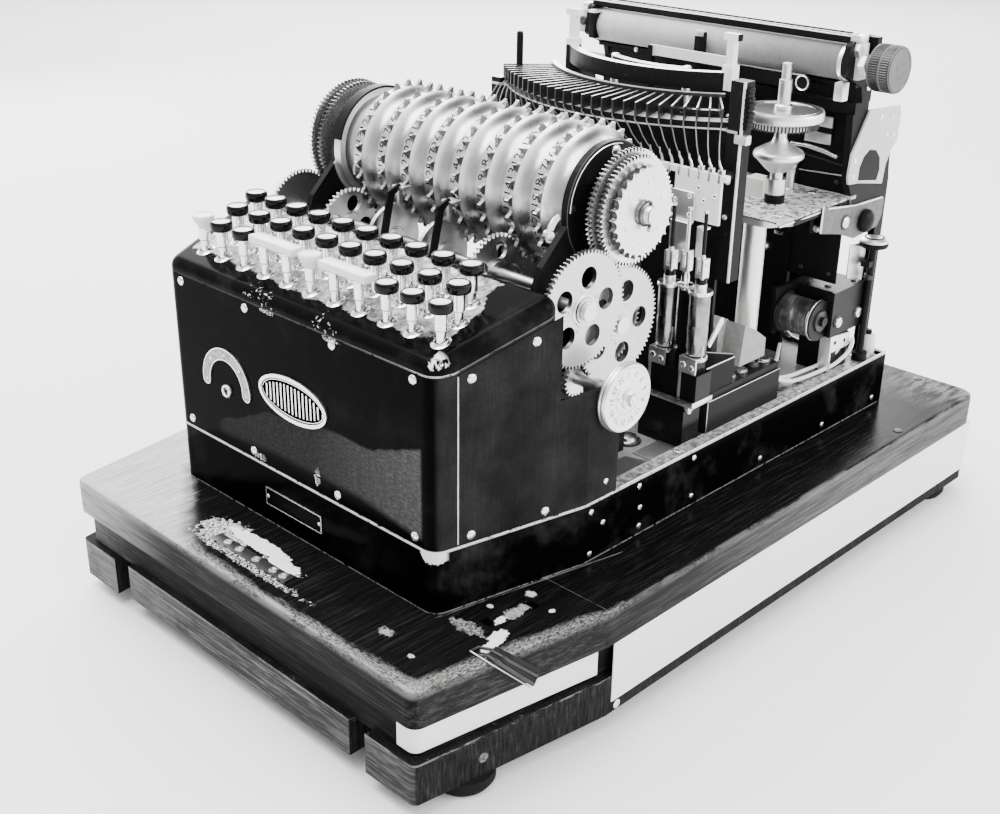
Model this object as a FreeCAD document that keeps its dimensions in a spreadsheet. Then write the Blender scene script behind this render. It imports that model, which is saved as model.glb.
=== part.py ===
import FreeCAD, Part
import Sketcher
import math
import os
import re

# Printing rotor cipher machine on a wooden base board.
# All lengths are millimetres.  The parts are drawn in a working frame whose
# zero is the middle of the machine's front face at the level of the board's
# top; each finished part is then moved by frame_y and frame_z so that the
# row frame's origin is the bottom centre of the whole object:
# +X to the right, +Y to the back, +Z up.

V = FreeCAD.Vector
R = FreeCAD.Rotation
doc = FreeCAD.newDocument("rotor_cipher_machine")

# ----------------------------------------------------------------------
# driving dimensions
# ----------------------------------------------------------------------
SIZES = [
    ("frame_y", -265.5), ("frame_z", 95.0),
    ("board_front", -66.0), ("board_back", 597.0), ("board_half_front", 193.0),
    ("board_half", 218.0), ("board_flare_y", 87.0), ("board_thick", 27.0),
    ("mid_thick", 26.0), ("mid_inset", 6.0), ("runner_thick", 31.0),
    ("runner_width", 46.0), ("foot_rad", 22.0), ("foot_tall", 11.0),
    ("tray_front_half", 141.0), ("tray_half", 165.5), ("tray_flare_y", 118.0),
    ("tray_back", 518.0), ("tray_tall", 46.0), ("wall", 2.5),
    ("box_back", 95.0), ("seam_front", 167.0), ("deck_rise", 0.3),
    ("deck_zero", 176.0), ("cover_round", 9.0),
    ("side_back", 150.0), ("side_top", 130.0),
    ("key_rad", 8.0), ("key_cap", 6.0), ("key_above", 27.0), ("stem_rad", 3.2),
    ("stem_gap", 0.4), ("collar_rad", 5.2), ("collar_tall", 3.0),
    ("guide_drop", 32.0), ("bar_long", 54.0), ("bar_wide", 11.0), ("bar_tall", 5.5),
    ("axis_y", 184.0), ("axis_z", 234.5), ("rotor_first", -93.0),
    ("rotor_pitch", 25.9), ("band_rad", 46.0), ("band_wide", 10.5),
    ("flange_wide", 3.0), ("flange_tip", 54.0), ("flange_root", 49.3),
    ("rotor_long", 25.0), ("rotor_waist", 42.0), ("shaft_rad", 6.0),
    ("run_gap", 0.05),
    ("gear_module", 1.1), ("gear_wide", 3.5),
    ("plate_rad", 43.0), ("plate_thick", 5.0), ("plate_left", -123.0), ("plate_right", 114.5),
    ("stud_rad", 4.0),
    ("cog_y", 128.0), ("cog_z", 186.5), ("cog_rad", 27.0), ("cog_shaft", 4.0), ("cog_thick", 3.0),
    ("wheel_rad", 24.0), ("wheel_thick", 6.5),
    ("fan_x", 20.0), ("fan_y", 430.0), ("fan_z", 285.0), ("fan_in", 130.0), ("fan_out", 173.0),
    ("plate_tall", 10.0), ("lever_thick", 1.1),
    ("platen_y", 426.0), ("platen_z", 303.0), ("platen_rad", 13.5), ("knob_rad", 17.0),
    ("spindle_x", 118.0), ("spindle_y", 388.0), ("disc_rad", 31.0),
    ("solenoid_rad", 7.5), ("solenoid_y", 255.0),
    ("coil_rad", 15.0), ("column_rad", 9.0),
]
sheet = doc.addObject("Spreadsheet::Sheet", "Sizes")
S = {}
for row, (alias, value) in enumerate(SIZES, start=1):
    sheet.set("A%d" % row, alias)
    sheet.set("B%d" % row, "%.4f" % value)
    sheet.setAlias("B%d" % row, alias)
    S[alias] = value
doc.recompute()

WORDS = re.compile(r"[a-z]+(?:_[a-z]+)*")


def expr(text):
    """Turn 'board_back - 3' into an expression on the sheet."""
    def word(m):
        return "Sizes." + m.group(0) if m.group(0) in S else m.group(0)
    return WORDS.sub(word, text)


def bind(obj, prop, value):
    if isinstance(value, str):
        obj.setExpression(prop, expr(value))
    else:
        head = getattr(obj, prop.split(".")[0])
        if "." in prop:
            base = head.Base
            setattr(base, prop.split(".")[-1], value)
            head.Base = base
            setattr(obj, prop.split(".")[0], head)
        else:
            setattr(obj, prop, value)


TURN = {"z": R(), "x": R(V(0, 1, 0), 90), "y": R(V(1, 0, 0), -90), "-x": R(V(0, 1, 0), -90),
        "-y": R(V(1, 0, 0), 90), "-z": R(V(1, 0, 0), 180)}
count = [0]


def prim(kind, pos, turn="z", **dims):
    count[0] += 1
    o = doc.addObject("Part::" + kind, "%s%03d" % (kind.lower(), count[0]))
    rot = TURN[turn] if isinstance(turn, str) else turn
    o.Placement = FreeCAD.Placement(V(0, 0, 0), rot)
    for k, v in dims.items():
        bind(o, k, v)
    for k, v in zip("xyz", pos):
        bind(o, "Placement.Base." + k, v)
    return o


def box(pos, size):
    return prim("Box", pos, Length=size[0], Width=size[1], Height=size[2])


def cyl(pos, rad, tall, turn="z"):
    return prim("Cylinder", pos, turn, Radius=rad, Height=tall)


def cone(pos, r_a, r_b, tall, turn="z"):
    return prim("Cone", pos, turn, Radius1=r_a, Radius2=r_b, Height=tall)


def fuse(objs, name=None):
    count[0] += 1
    o = doc.addObject("Part::MultiFuse", name or "fuse%03d" % count[0])
    o.Shapes = objs
    return o


def group(objs, name=None):
    count[0] += 1
    o = doc.addObject("Part::Compound", name or "group%03d" % count[0])
    o.Links = objs
    return o


def cut(base, tool, name=None):
    count[0] += 1
    o = doc.addObject("Part::Cut", name or "cut%03d" % count[0])
    o.Base = base
    o.Tool = tool if not isinstance(tool, list) else (tool[0] if len(tool) == 1 else fuse(tool))
    return o


def segments(pts):
    """Closed outline from (u, v) or (u, v, corner radius) points, as lines and arcs."""
    n = len(pts)
    ends = []
    for i in range(n):
        p = V(pts[i][0], pts[i][1], 0)
        r = pts[i][2] if len(pts[i]) > 2 else 0.0
        a = V(pts[i - 1][0], pts[i - 1][1], 0) - p
        b = V(pts[(i + 1) % n][0], pts[(i + 1) % n][1], 0) - p
        if r <= 0:
            ends.append((p, p, None))
            continue
        a.normalize()
        b.normalize()
        half = a.getAngle(b) / 2
        d = r / math.tan(half)
        bis = a + b
        bis.normalize()
        mid = p + bis * (r / math.sin(half) - r)
        ends.append((p + a * d, p + b * d, mid))
    out = []
    for i in range(n):
        if ends[i][2] is not None:
            out.append(("A", ends[i][0], ends[i][2], ends[i][1]))
        q = ends[(i + 1) % n][0]
        if (q - ends[i][1]).Length > 1e-6:
            out.append(("L", ends[i][1], q))
    return out


def plane(body, role):
    return [f for f in body.Origin.OriginFeatures if f.Role == role][0]


def sketch(body, name, role, offset=0.0):
    s = body.newObject("Sketcher::SketchObject", name)
    s.AttachmentSupport = [(plane(body, role), "")]
    s.MapMode = "FlatFace"
    if isinstance(offset, str):
        s.setExpression("AttachmentOffset.Base.z", expr(offset))
    elif offset:
        s.AttachmentOffset = FreeCAD.Placement(V(0, 0, offset), R())
    return s


def outline(s, pts):
    geo = []
    for seg in segments(pts):
        if seg[0] == "L":
            geo.append(Part.LineSegment(seg[1], seg[2]))
        else:
            geo.append(Part.Arc(seg[1], seg[2], seg[3]))
    first = s.GeometryCount
    s.addGeometry(geo, False)
    n = len(geo)
    s.addConstraint([Sketcher.Constraint("Coincident", first + i, 2, first + (i + 1) % n, 1)
                     for i in range(n)])


def ring(s, u, v, rad):
    """Circle with its radius tied to the sheet when rad is text."""
    start = S[rad] if rad in S else (rad if not isinstance(rad, str) else 5.0)
    g = s.addGeometry(Part.Circle(V(u, v, 0), V(0, 0, 1), start), False)
    c = s.addConstraint(Sketcher.Constraint("Radius", g, start))
    if isinstance(rad, str):
        s.setExpression("Constraints[%d]" % c, expr(rad))


def pad(body, s, length, name, back=False, mid=False):
    f = body.newObject("PartDesign::Pad", name)
    f.Profile = s
    bind(f, "Length", length)
    f.Reversed = back
    f.Midplane = mid
    body.Tip = f
    return f


def pocket(body, s, name, length=None, back=False, mid=False):
    f = body.newObject("PartDesign::Pocket", name)
    f.Profile = s
    if length is None:
        f.Type = "ThroughAll"
    else:
        bind(f, "Length", length)
    f.Reversed = back
    f.Midplane = mid
    body.Tip = f
    return f


def round_edges(body, name, edges, radius):
    base = body.Tip
    f = body.newObject("PartDesign::Fillet", name)
    f.Base = (base, edges)
    bind(f, "Radius", radius)
    body.Tip = f
    return f


NODES = []


def node(obj, label, y="frame_y", z="frame_z"):
    """Name a finished part and move it into the row frame."""
    obj.Label = label
    bind(obj, "Placement.Base.y", y)
    bind(obj, "Placement.Base.z", z)
    NODES.append(obj)
    return obj


def feature(shape, label):
    o = doc.addObject("Part::Feature", label + "_part")
    o.Shape = shape
    o.Placement = FreeCAD.Placement(V(0, 0, 0), R())
    return node(o, label)


def prism(pts, base, vec, axis="z"):
    """Solid from an outline: the outline is in XY, YZ or XZ, extruded along vec."""
    def up(p):
        if axis == "z":
            return V(p.x, p.y, base)
        if axis == "x":
            return V(base, p.x, p.y)
        return V(p.x, base, p.y)
    edges = []
    for seg in segments(pts):
        q = [up(p) for p in seg[1:]]
        edges.append(Part.LineSegment(*q).toShape() if seg[0] == "L" else Part.Arc(*q).toShape())
    face = Part.Face(Part.Wire(edges))
    d = {"z": V(0, 0, vec), "x": V(vec, 0, 0), "y": V(0, vec, 0)}[axis]
    return face.extrude(d)


def static_prism(pts, base, vec, axis="z"):
    count[0] += 1
    o = doc.addObject("Part::Feature", "prism%03d" % count[0])
    o.Shape = prism(pts, base, vec, axis)
    return o


# ----------------------------------------------------------------------
# wooden base: top board, recessed layer with runners, round feet
# ----------------------------------------------------------------------
def board_outline(inset, front_r, back_r):
    f = S["board_front"] + inset
    b = S["board_back"] - inset
    hf = S["board_half_front"] - inset
    h = S["board_half"] - inset
    fy = S["board_flare_y"]
    return [(-hf, f, front_r), (hf, f, front_r), (h, fy, 25), (h, b, back_r), (-h, b, back_r), (-h, fy, 25)]


b = doc.addObject("PartDesign::Body", "TopBoard")
s = sketch(b, "TopBoardOutline", "XY_Plane")
outline(s, board_outline(0, 9, 16))
pad(b, s, "board_thick", "TopBoardPad", back=True)
doc.recompute()
round_edges(b, "TopBoardEdge", ["Edge%d" % (i + 1) for i, e in enumerate(b.Tip.Shape.Edges)
                                if abs(e.BoundBox.ZMin) < 1e-3 and abs(e.BoundBox.ZMax) < 1e-3], 3.0)
node(b, "wood_top_board")

mid = doc.addObject("PartDesign::Body", "MiddleLayer")
s = sketch(mid, "MiddleOutline", "XY_Plane", "-board_thick")
outline(s, board_outline(S["mid_inset"], 6, 12))
pad(mid, s, "mid_thick", "MiddlePad", back=True)
run_z = "-(board_thick + mid_thick)"
RZ = -(S["board_thick"] + S["mid_thick"])
W = S["runner_width"]


def runner(side):
    pts = [(side * (193 - W), -66), (side * 193, -66, 5), (side * 217, S["board_flare_y"]),
           (side * 217, 596, 8), (side * (217 - W), 596), (side * (217 - W), S["board_flare_y"] + 4)]
    if side < 0:
        pts = pts[::-1]
    return pts


bodies_w = [mid]
for side, nm in ((-1, "Left"), (1, "Right")):
    rb = doc.addObject("PartDesign::Body", "Runner" + nm)
    s = sketch(rb, "Runner%sOutline" % nm, "XY_Plane", run_z)
    outline(s, runner(side))
    pad(rb, s, "runner_thick", "Runner%sPad" % nm, back=True)
    bodies_w.append(rb)
plank = box((-131.0, -64.0, "-(board_thick + mid_thick + runner_thick - 2)"), (260.0, 22.0, "runner_thick - 2"))
batten = box((-165.0, 560.0, "-(board_thick + mid_thick + 20)"), (330.0, 30.0, 20.0))
g = group(bodies_w + [plank, batten], "LowerFrame")
node(g, "wood_lower_frame")

feet = []
for x, y in ((-184.0, -16.0), (184.0, -16.0), (-194.0, 560.0), (194.0, 560.0)):
    top = "-(board_thick + mid_thick + runner_thick)"
    dome = cone((x, y, top + " - foot_tall"), "foot_rad - 3", "foot_rad", "foot_tall * 0.4")
    disc = cyl((x, y, top + " - foot_tall * 0.6"), "foot_rad", "foot_tall * 0.6")
    feet.append(fuse([dome, disc]))
node(group(feet, "Feet"), "rubber_feet")

# ----------------------------------------------------------------------
# machine tray, housing and key deck
# ----------------------------------------------------------------------
HF, HB, FY = S["tray_front_half"], S["tray_half"], S["tray_flare_y"]
SLOPE = (HB - HF) / FY


def half_at(y):
    return HF + SLOPE * y if y < FY else HB


def tray_outline(inset, r):
    y0, y1 = inset, S["tray_back"] - inset
    return [(-(half_at(y0) - inset), y0, r), (half_at(y0) - inset, y0, r), (HB - inset, FY, 8),
            (HB - inset, y1, 3), (-(HB - inset), y1, 3), (-(HB - inset), FY, 8)]


b = doc.addObject("PartDesign::Body", "Tray")
s = sketch(b, "TrayOutline", "XY_Plane")
outline(s, tray_outline(0, 11))
pad(b, s, "tray_tall", "TrayPad")
s = sketch(b, "TrayInside", "XY_Plane", 3.0)
outline(s, tray_outline(S["wall"], 8.5))
pocket(b, s, "TrayPocket", 60.0, back=True)
node(b, "base_tray")


def box_outline(inset, r):
    y0, y1 = inset, S["box_back"] - inset
    return [(-(half_at(y0) - inset), y0, r), (half_at(y0) - inset, y0, r),
            (half_at(y1) - inset, y1, r - 1), (-(half_at(y1) - inset), y1, r - 1)]


SF, DR, DZ = S["seam_front"], S["deck_rise"], S["deck_zero"]
seam = [(-8, SF), (15, SF), (102, SF + DR * 87)]
b = doc.addObject("PartDesign::Body", "Housing")
s = sketch(b, "HousingWalls", "XY_Plane", "tray_tall")
outline(s, box_outline(0, 11))
outline(s, box_outline(S["wall"], 8.5))
pad(b, s, 150.0, "HousingPad")
for side in (-1, 1):
    s = sketch(b, "SideWing%s" % ("L" if side < 0 else "R"), "XY_Plane", "tray_tall")
    w = S["wall"]
    yb = S["box_back"] - 15.0
    pts = [(side * (half_at(yb) - w), yb), (side * half_at(yb), yb), (side * HB, FY),
           (side * HB, S["side_back"]), (side * (HB - w), S["side_back"]), (side * (HB - w), FY)]
    outline(s, pts if side > 0 else pts[::-1])
    pad(b, s, "side_top - tray_tall", "SideWingPad%s" % ("L" if side < 0 else "R"))
# notch in the upper rear corner of both side wings, clear of the hand wheel sleeve
s = sketch(b, "WingNotch", "YZ_Plane")
outline(s, [(139.5, 108), (152, 108), (152, 132), (139.5, 132)])
pocket(b, s, "WingNotchPocket", 400.0, mid=True)
s = sketch(b, "SeamCut", "YZ_Plane")
outline(s, [seam[0], seam[1], seam[2], (102, 260), (-8, 260)])
pocket(b, s, "SeamPocket", 400.0, mid=True)
# slot in the rear wall, open at the top, that clears the front idler's teeth and hub
s = sketch(b, "GearSlot", "XY_Plane", 158.0)
outline(s, [(136.0, 90.0), (147.0, 90.0), (147.0, 98.0), (136.0, 98.0)])
pocket(b, s, "GearSlotPocket", 60.0, back=True)
node(b, "key_housing")

# key deck cover: sloping lid with rounded edges and a hole for every key stem
lid = doc.addObject("PartDesign::Body", "LidOuter")
s = sketch(lid, "LidOutline", "XY_Plane", 150.0)
outline(s, box_outline(0, 11))
pad(lid, s, 80.0, "LidPad")
s = sketch(lid, "LidTopCut", "YZ_Plane")
outline(s, [(-8, DZ - 8 * DR), (102, DZ + 102 * DR), (102, 270), (-8, 270)])
pocket(lid, s, "LidTopPocket", 400.0, mid=True)
s = sketch(lid, "LidBottomCut", "YZ_Plane")
outline(s, [(-8, 120), (102, 120), (102, SF + DR * 87 + 0.4), (15, SF + 0.4), (-8, SF + 0.4)])
pocket(lid, s, "LidBottomPocket", 400.0, mid=True)
doc.recompute()


def deck_edges(shape, drop):
    out = []
    for i, e in enumerate(shape.Edges):
        ok = True
        for v in e.discretize(5):
            if abs(v.z - (DZ - drop + DR * v.y)) > 0.05:
                ok = False
        if ok:
            out.append("Edge%d" % (i + 1))
    return out


round_edges(lid, "LidRound", deck_edges(lid.Tip.Shape, 0), "cover_round")

inner = doc.addObject("PartDesign::Body", "LidInner")
s = sketch(inner, "LidInnerOutline", "XY_Plane", 140.0)
outline(s, box_outline(S["wall"], 8.5))
pad(inner, s, 80.0, "LidInnerPad")
s = sketch(inner, "LidInnerCut", "YZ_Plane")
DT = 2.6
outline(s, [(-8, DZ - DT - 8 * DR), (102, DZ - DT + 102 * DR), (102, 270), (-8, 270)])
pocket(inner, s, "LidInnerPocket", 400.0, mid=True)
doc.recompute()
round_edges(inner, "LidInnerRound", deck_edges(inner.Tip.Shape, DT), 6.6)

ROW_A = [(128, 19.5, "dark"), (103, 19.5, "dark"), (79, 19.5, "dark"), (40.5, 19.5, "bar"),
         (3, 19.5, "light"), (-34.5, 19.5, "bar"), (-71, 19.5, "dark"), (-97, 19.5, "dark"),
         (-119, 19.5, "light")]
ROW_B = [(x, 39.5, "dark") for x in (123, 97, 71, 45, 20.5, -4, -29, -54, -79, -105)]
ROW_C = [(x, 58.6, "dark") for x in (114.5, 89, 64, 39.5, 15, -10, -35.5, -60.5, -85, -108)]
KEYS = ROW_A + ROW_B + ROW_C
stems = []
for x, y, kind in KEYS:
    stems += [(x - 12.5, y), (x + 12.5, y)] if kind == "bar" else [(x, y)]
holes = [cyl((float(x), y, 100.0), "stem_rad + stem_gap", 200.0) for x, y in stems]
lid_cut = cut(cut(lid, inner, "LidShell"), holes, "LidWithHoles")
node(lid_cut, "key_deck_cover")

# guide plate under the deck, with the same pattern of holes
gd = S["guide_drop"]
guide = doc.addObject("PartDesign::Body", "GuidePlate")
s = sketch(guide, "GuideSide", "YZ_Plane")
outline(s, [(6, DZ - gd + 6 * DR), (84, DZ - gd + 84 * DR), (84, DZ - gd + 3 + 84 * DR), (6, DZ - gd + 3 + 6 * DR)])
pad(guide, s, 270.0, "GuidePad", mid=True)
legs = []
for x in (-134.0, 129.0):
    legs.append(box((x, 76.0, 3.0), (5.0, 5.0, DZ - gd + 76 * DR - 2.0)))
    legs.append(box((x, 7.0, 3.0), (5.0, 5.0, DZ - gd + 7 * DR - 2.0)))
holes = [cyl((float(x), y, 100.0), "stem_rad + stem_gap", 200.0) for x, y in stems]
node(fuse([cut(guide, holes, "GuideHoles")] + legs, "GuideUnit"), "key_guide_plate")

# keys: round caps or double-stem bars, each sliding on its own
for n, (x, y, kind) in enumerate(KEYS, start=1):
    deck = DZ + DR * y
    top = deck + S["key_above"]
    parts = []
    xs = (x - 12.5, x + 12.5) if kind == "bar" else (x,)
    for sx in xs:
        parts.append(cyl((float(sx), y, deck - 42.0), "stem_rad", "key_above + 42 - key_cap + 1"))
        parts.append(cyl((float(sx), y, deck - 9.0), "collar_rad", "collar_tall"))
        parts.append(cyl((float(sx), y, "%f - key_cap - 3" % top), "stem_rad + 1.2", 3.5))
    if kind == "bar":
        wide, long_ = S["bar_wide"], S["bar_long"]
        parts.append(static_prism([(x - long_ / 2, y - wide / 2, 2), (x + long_ / 2, y - wide / 2, 2),
                                   (x + long_ / 2, y + wide / 2, 2), (x - long_ / 2, y + wide / 2, 2)],
                                  top - S["bar_tall"], S["bar_tall"]))
    else:
        parts.append(cone((float(x), y, "%f - key_cap" % top), "key_rad - 1.2", "key_rad", 1.5))
        parts.append(cyl((float(x), y, "%f - key_cap + 1.5" % top), "key_rad", "key_cap - 3"))
        parts.append(cone((float(x), y, "%f - 1.5" % top), "key_rad", "key_rad - 1.4", 1.5))
    label = {"dark": "key_%02d", "bar": "bar_key_%02d", "light": "light_key_%02d"}[kind] % n
    node(fuse(parts, "Key%02d" % n), label)

# ----------------------------------------------------------------------
# plates fixed to the front: curved scale, lock barrel, oval badge, data plate,
# and two white cards along the edge of the wooden base
# ----------------------------------------------------------------------
scale = []
for k in range(25):
    a = math.radians(-14 + 208 * k / 24.0)
    scale.append((a,))
arc_pts = [(-75 + 28.5 * math.cos(a[0]), 95 + 28.5 * math.sin(a[0])) for a in scale]
arc_pts += [(-75 + 19.5 * math.cos(a[0]), 95 + 19.5 * math.sin(a[0])) for a in reversed(scale)]
trim = [static_prism(arc_pts, 0.0, -1.2, "y")]
trim.append(cyl((-75.0, 0.0, 91.0), 5.0, 3.0, "-y"))
oval = doc.addObject("Part::Ellipse", "BadgeOutline")
oval.MajorRadius = 37.0
oval.MinorRadius = 16.5
oval.Placement = FreeCAD.Placement(V(2.5, 0, 108.5), R(V(1, 0, 0), 90))
badge = doc.addObject("Part::Extrusion", "Badge")
badge.Base = oval
badge.DirMode = "Custom"
badge.Dir = V(0, -1, 0)
badge.LengthFwd = 1.6
badge.Solid = True
trim.append(badge)
trim.append(box((-35.0, -1.0, 15.0), (63.0, 1.0, 14.0)))
trim.append(box((217.0, 92.0, -77.0), (1.0, 500.0, 50.0)))
# the short card lies on the recessed layer and bends round its rounded corner
cx0, cy0 = 181.93, -54.0
bend = [math.radians(-90.0 + 80.35 * k / 8.0) for k in range(9)]
card = [(172.0, cy0 - 7.1)] + [(cx0 + 7.1 * math.cos(a), cy0 + 7.1 * math.sin(a)) for a in bend]
card += [(208.83, 61.83), (207.85, 62.0)]
card += [(cx0 + 6.1 * math.cos(a), cy0 + 6.1 * math.sin(a)) for a in reversed(bend)] + [(172.0, cy0 - 6.1)]
trim.append(static_prism(card, -50.0, 23.0, "z"))
node(group(trim, "Trim"), "trim_plates")

# fixing screws of the covers, as round heads on the outside faces
heads = []


def head(pos, turn, rad=3.3, tall=1.8):
    heads.append(fuse([cyl(pos, rad, tall * 0.55, turn),
                       cone(tuple(p + d * tall * 0.55 for p, d in zip(pos, AX[turn])), rad, rad * 0.62, tall * 0.45, turn)]))


AX = {"-y": (0, -1, 0), "x": (1, 0, 0), "-x": (-1, 0, 0), "z": (0, 0, 1)}
for x in (-124.0, -47.0, 47.0, 124.0):
    head((x, 0.0, 162.0), "-y")
    head((x, 0.0, 53.0), "-y")
for x in (-33.0, 26.0):
    head((x, -1.0, 22.0), "-y", 1.6, 0.9)
slant = math.degrees(math.atan(SLOPE))
for side in (-1, 1):
    for y, z in ((27.0, 162.0), (74.0, 176.0), (27.0, 53.0), (84.0, 53.0)):
        rot = R(V(0, 0, 1), -side * slant) * TURN["x" if side > 0 else "-x"]
        base = V(side * half_at(y), y, z)
        c1 = prim("Cylinder", (base.x, base.y, base.z), rot, Radius=3.3, Height=1.0)
        heads.append(c1)
    t = "x" if side > 0 else "-x"
    for y, z in ((138.0, 58.0), (137.0, 26.0), (124.0, 39.0), (124.0, 6.0), (176.0, 40.0), (178.0, 22.0),
                 (178.0, 7.0), (240.0, 40.0), (240.0, 8.0), (330.0, 8.0), (420.0, 8.0), (500.0, 8.0)):
        head((side * HB, y, z), t, 2.4, 1.4)
node(group(heads, "Heads"), "cover_screws")

# ----------------------------------------------------------------------
# toothed outlines
# ----------------------------------------------------------------------
M = S["gear_module"]


def gear_outline(teeth, phase=0.0, tip=None):
    """Gear outline about the origin; phase is the direction of one tooth, degrees."""
    rp = M * teeth / 2.0
    ra = rp + 0.92 * M
    rf = rp - 1.25 * M
    pts = []
    slack = 0.30
    half_p = (math.pi * M / 2 - slack) / 2 / rp
    half_a = (0.80 * M - slack) / 2 / ra
    half_f = (2.35 * M - slack) / 2 / rf
    for k in range(teeth):
        c = math.radians(phase) + 2 * math.pi * k / teeth
        for r, h in ((rf, -half_f), (rp, -half_p), (ra, -half_a), (ra, half_a), (rp, half_p), (rf, half_f)):
            pts.append((r * math.cos(c + h), r * math.sin(c + h)))
    return pts


def saw_outline(teeth, tip, root, phase=0.0, lean=1):
    """Hooked teeth: a steep face, then a hollow sweep up to the next point."""
    pts = []
    for k in range(teeth):
        c = math.radians(phase) + lean * 2 * math.pi * k / teeth
        p = 2 * math.pi / teeth
        for frac, lift in ((0.0, 1.0), (0.07, 0.80), (0.13, 0.36), (0.24, 0.08), (0.40, 0.0), (0.56, 0.06),
                           (0.70, 0.20), (0.83, 0.44), (0.93, 0.74)):
            a = c + lean * frac * p
            r = root + (tip - root) * lift
            pts.append((r * math.cos(a), r * math.sin(a)))
    return pts if lean > 0 else pts[::-1]


AY, AZ = S["axis_y"], S["axis_z"]

# ----------------------------------------------------------------------
# eight rotors turning on one shaft
# ----------------------------------------------------------------------
def cove(xa, ra, xb, rb):
    """Middle point of the hollow arc from (xa, ra) that runs level into (xb, rb)."""
    w, h = xb - xa, ra - rb
    rad = (w * w + h * h) / (2 * h)
    c = V(xb, rb + rad, 0)
    d = (V(xa, ra, 0) - c).normalize() + (V(xb, rb, 0) - c).normalize()
    return c + d.normalize() * rad


for i in range(8):
    b = doc.addObject("PartDesign::Body", "Rotor%d" % (i + 1))
    s = sketch(b, "Rotor%dProfile" % (i + 1), "XY_Plane")
    bore = S["shaft_rad"] + S["run_gap"]
    br, bw, fw = S["band_rad"], S["band_wide"], S["flange_wide"]
    root, waist, long_ = S["flange_root"], S["rotor_waist"], S["rotor_long"]
    geo = [Part.LineSegment(V(0, bore, 0), V(0, br - 0.6, 0)),
           Part.LineSegment(V(0, br - 0.6, 0), V(0.6, br, 0)),
           Part.LineSegment(V(0.6, br, 0), V(bw, br, 0)),
           Part.LineSegment(V(bw, br, 0), V(bw, root, 0)),
           Part.LineSegment(V(bw, root, 0), V(bw + fw, root, 0)),
           Part.Arc(V(bw + fw, root, 0), cove(bw + fw, root, long_, waist), V(long_, waist, 0)),
           Part.LineSegment(V(long_, waist, 0), V(long_, bore, 0)),
           Part.LineSegment(V(long_, bore, 0), V(0, bore, 0))]
    s.addGeometry(geo, False)
    s.addConstraint([Sketcher.Constraint("Coincident", k, 2, (k + 1) % 8, 1) for k in range(8)])
    f = b.newObject("PartDesign::Revolution", "Rotor%dTurn" % (i + 1))
    f.Profile = s
    f.ReferenceAxis = (s, ["H_Axis"])
    f.Angle = 360.0
    b.Tip = f
    s = sketch(b, "Rotor%dTeeth" % (i + 1), "YZ_Plane", "band_wide")
    outline(s, saw_outline(28, S["flange_tip"], S["flange_root"] - 0.2, phase=3.7 * i, lean=-1))
    ring(s, 0, 0, 20.0)
    pad(b, s, "flange_wide", "Rotor%dRim" % (i + 1))
    node(b, "rotor_%d" % (i + 1), "axis_y + frame_y", "axis_z + frame_z")
    bind(b, "Placement.Base.x", "rotor_first + rotor_pitch * %d" % i)

# ----------------------------------------------------------------------
# gear train.  Teeth point along these directions at rest so that each pair
# is in mesh: a gap of one gear faces a tooth of the other.
# ----------------------------------------------------------------------
Z_A, Z_B, Z_L = 72, 66, 80          # rings on the rotor shaft
Z_REAR, Z_FRONT = 74, 72            # the two large idlers with five holes
Z_REAR2, Z_HAND = 62, 22            # inner wheel of the rear idler, hand wheel pinion
Z_COG = 54                          # wheel at the left end of the stepping shaft


def centre(frm, towards, dist):
    d = V(0, towards[0] - frm[0], towards[1] - frm[1])
    d.normalize()
    return (frm[0] + d.y * dist, frm[1] + d.z * dist)


def mesh_phase(c_a, z_a, phase_a, c_b, z_b):
    """Phase of gear b so that it meshes with gear a, both about +X."""
    ang = math.degrees(math.atan2(c_b[1] - c_a[1], c_b[0] - c_a[0]))
    frac = ((ang - phase_a) / (360.0 / z_a)) % 1.0
    return (ang + 180.0) + (frac + 0.5) * (360.0 / z_b)


C_ROT = (AY, AZ)
C_REAR = centre(C_ROT, (178.0, 154.4), M * (Z_A + Z_REAR) / 2)
C_FRONT = centre(C_ROT, (134.3, 177.1), M * (Z_B + Z_FRONT) / 2)
C_HAND = centre(C_REAR, (148.0, 119.0), M * (Z_REAR2 + Z_HAND) / 2)
C_COG = centre(C_ROT, (128.0, 186.5), M * (Z_L + Z_COG) / 2)
print("rear idler centre %.3f %.3f" % C_REAR)
print("front idler centre %.3f %.3f" % C_FRONT)
print("hand wheel centre %.3f %.3f" % C_HAND)
print("stepping shaft centre %.3f %.3f" % C_COG)

P_A = P_B = P_L = 0.0
P_REAR = mesh_phase(C_ROT, Z_A, P_A, C_REAR, Z_REAR)
P_FRONT = mesh_phase(C_ROT, Z_B, P_B, C_FRONT, Z_FRONT)
P_COG = mesh_phase(C_ROT, Z_L, P_L, C_COG, Z_COG)
P_REAR2 = 0.0
P_HAND = mesh_phase(C_REAR, Z_REAR2, P_REAR2, C_HAND, Z_HAND)


def disc_pad(body, tag, x, width, pts=None, rad=None, bore=None, holes=()):
    s = sketch(body, tag, "YZ_Plane", x)
    if pts is not None:
        outline(s, pts)
    else:
        ring(s, 0, 0, rad)
    if bore is not None:
        ring(s, 0, 0, bore)
    for u, v, r in holes:
        ring(s, u, v, r)
    return pad(body, s, width, tag + "Pad")


def five_holes(r_mid, r_hole, start, n=5):
    return [(r_mid * math.cos(math.radians(start + 360.0 / n * k)),
             r_mid * math.sin(math.radians(start + 360.0 / n * k)), r_hole) for k in range(n)]


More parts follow.
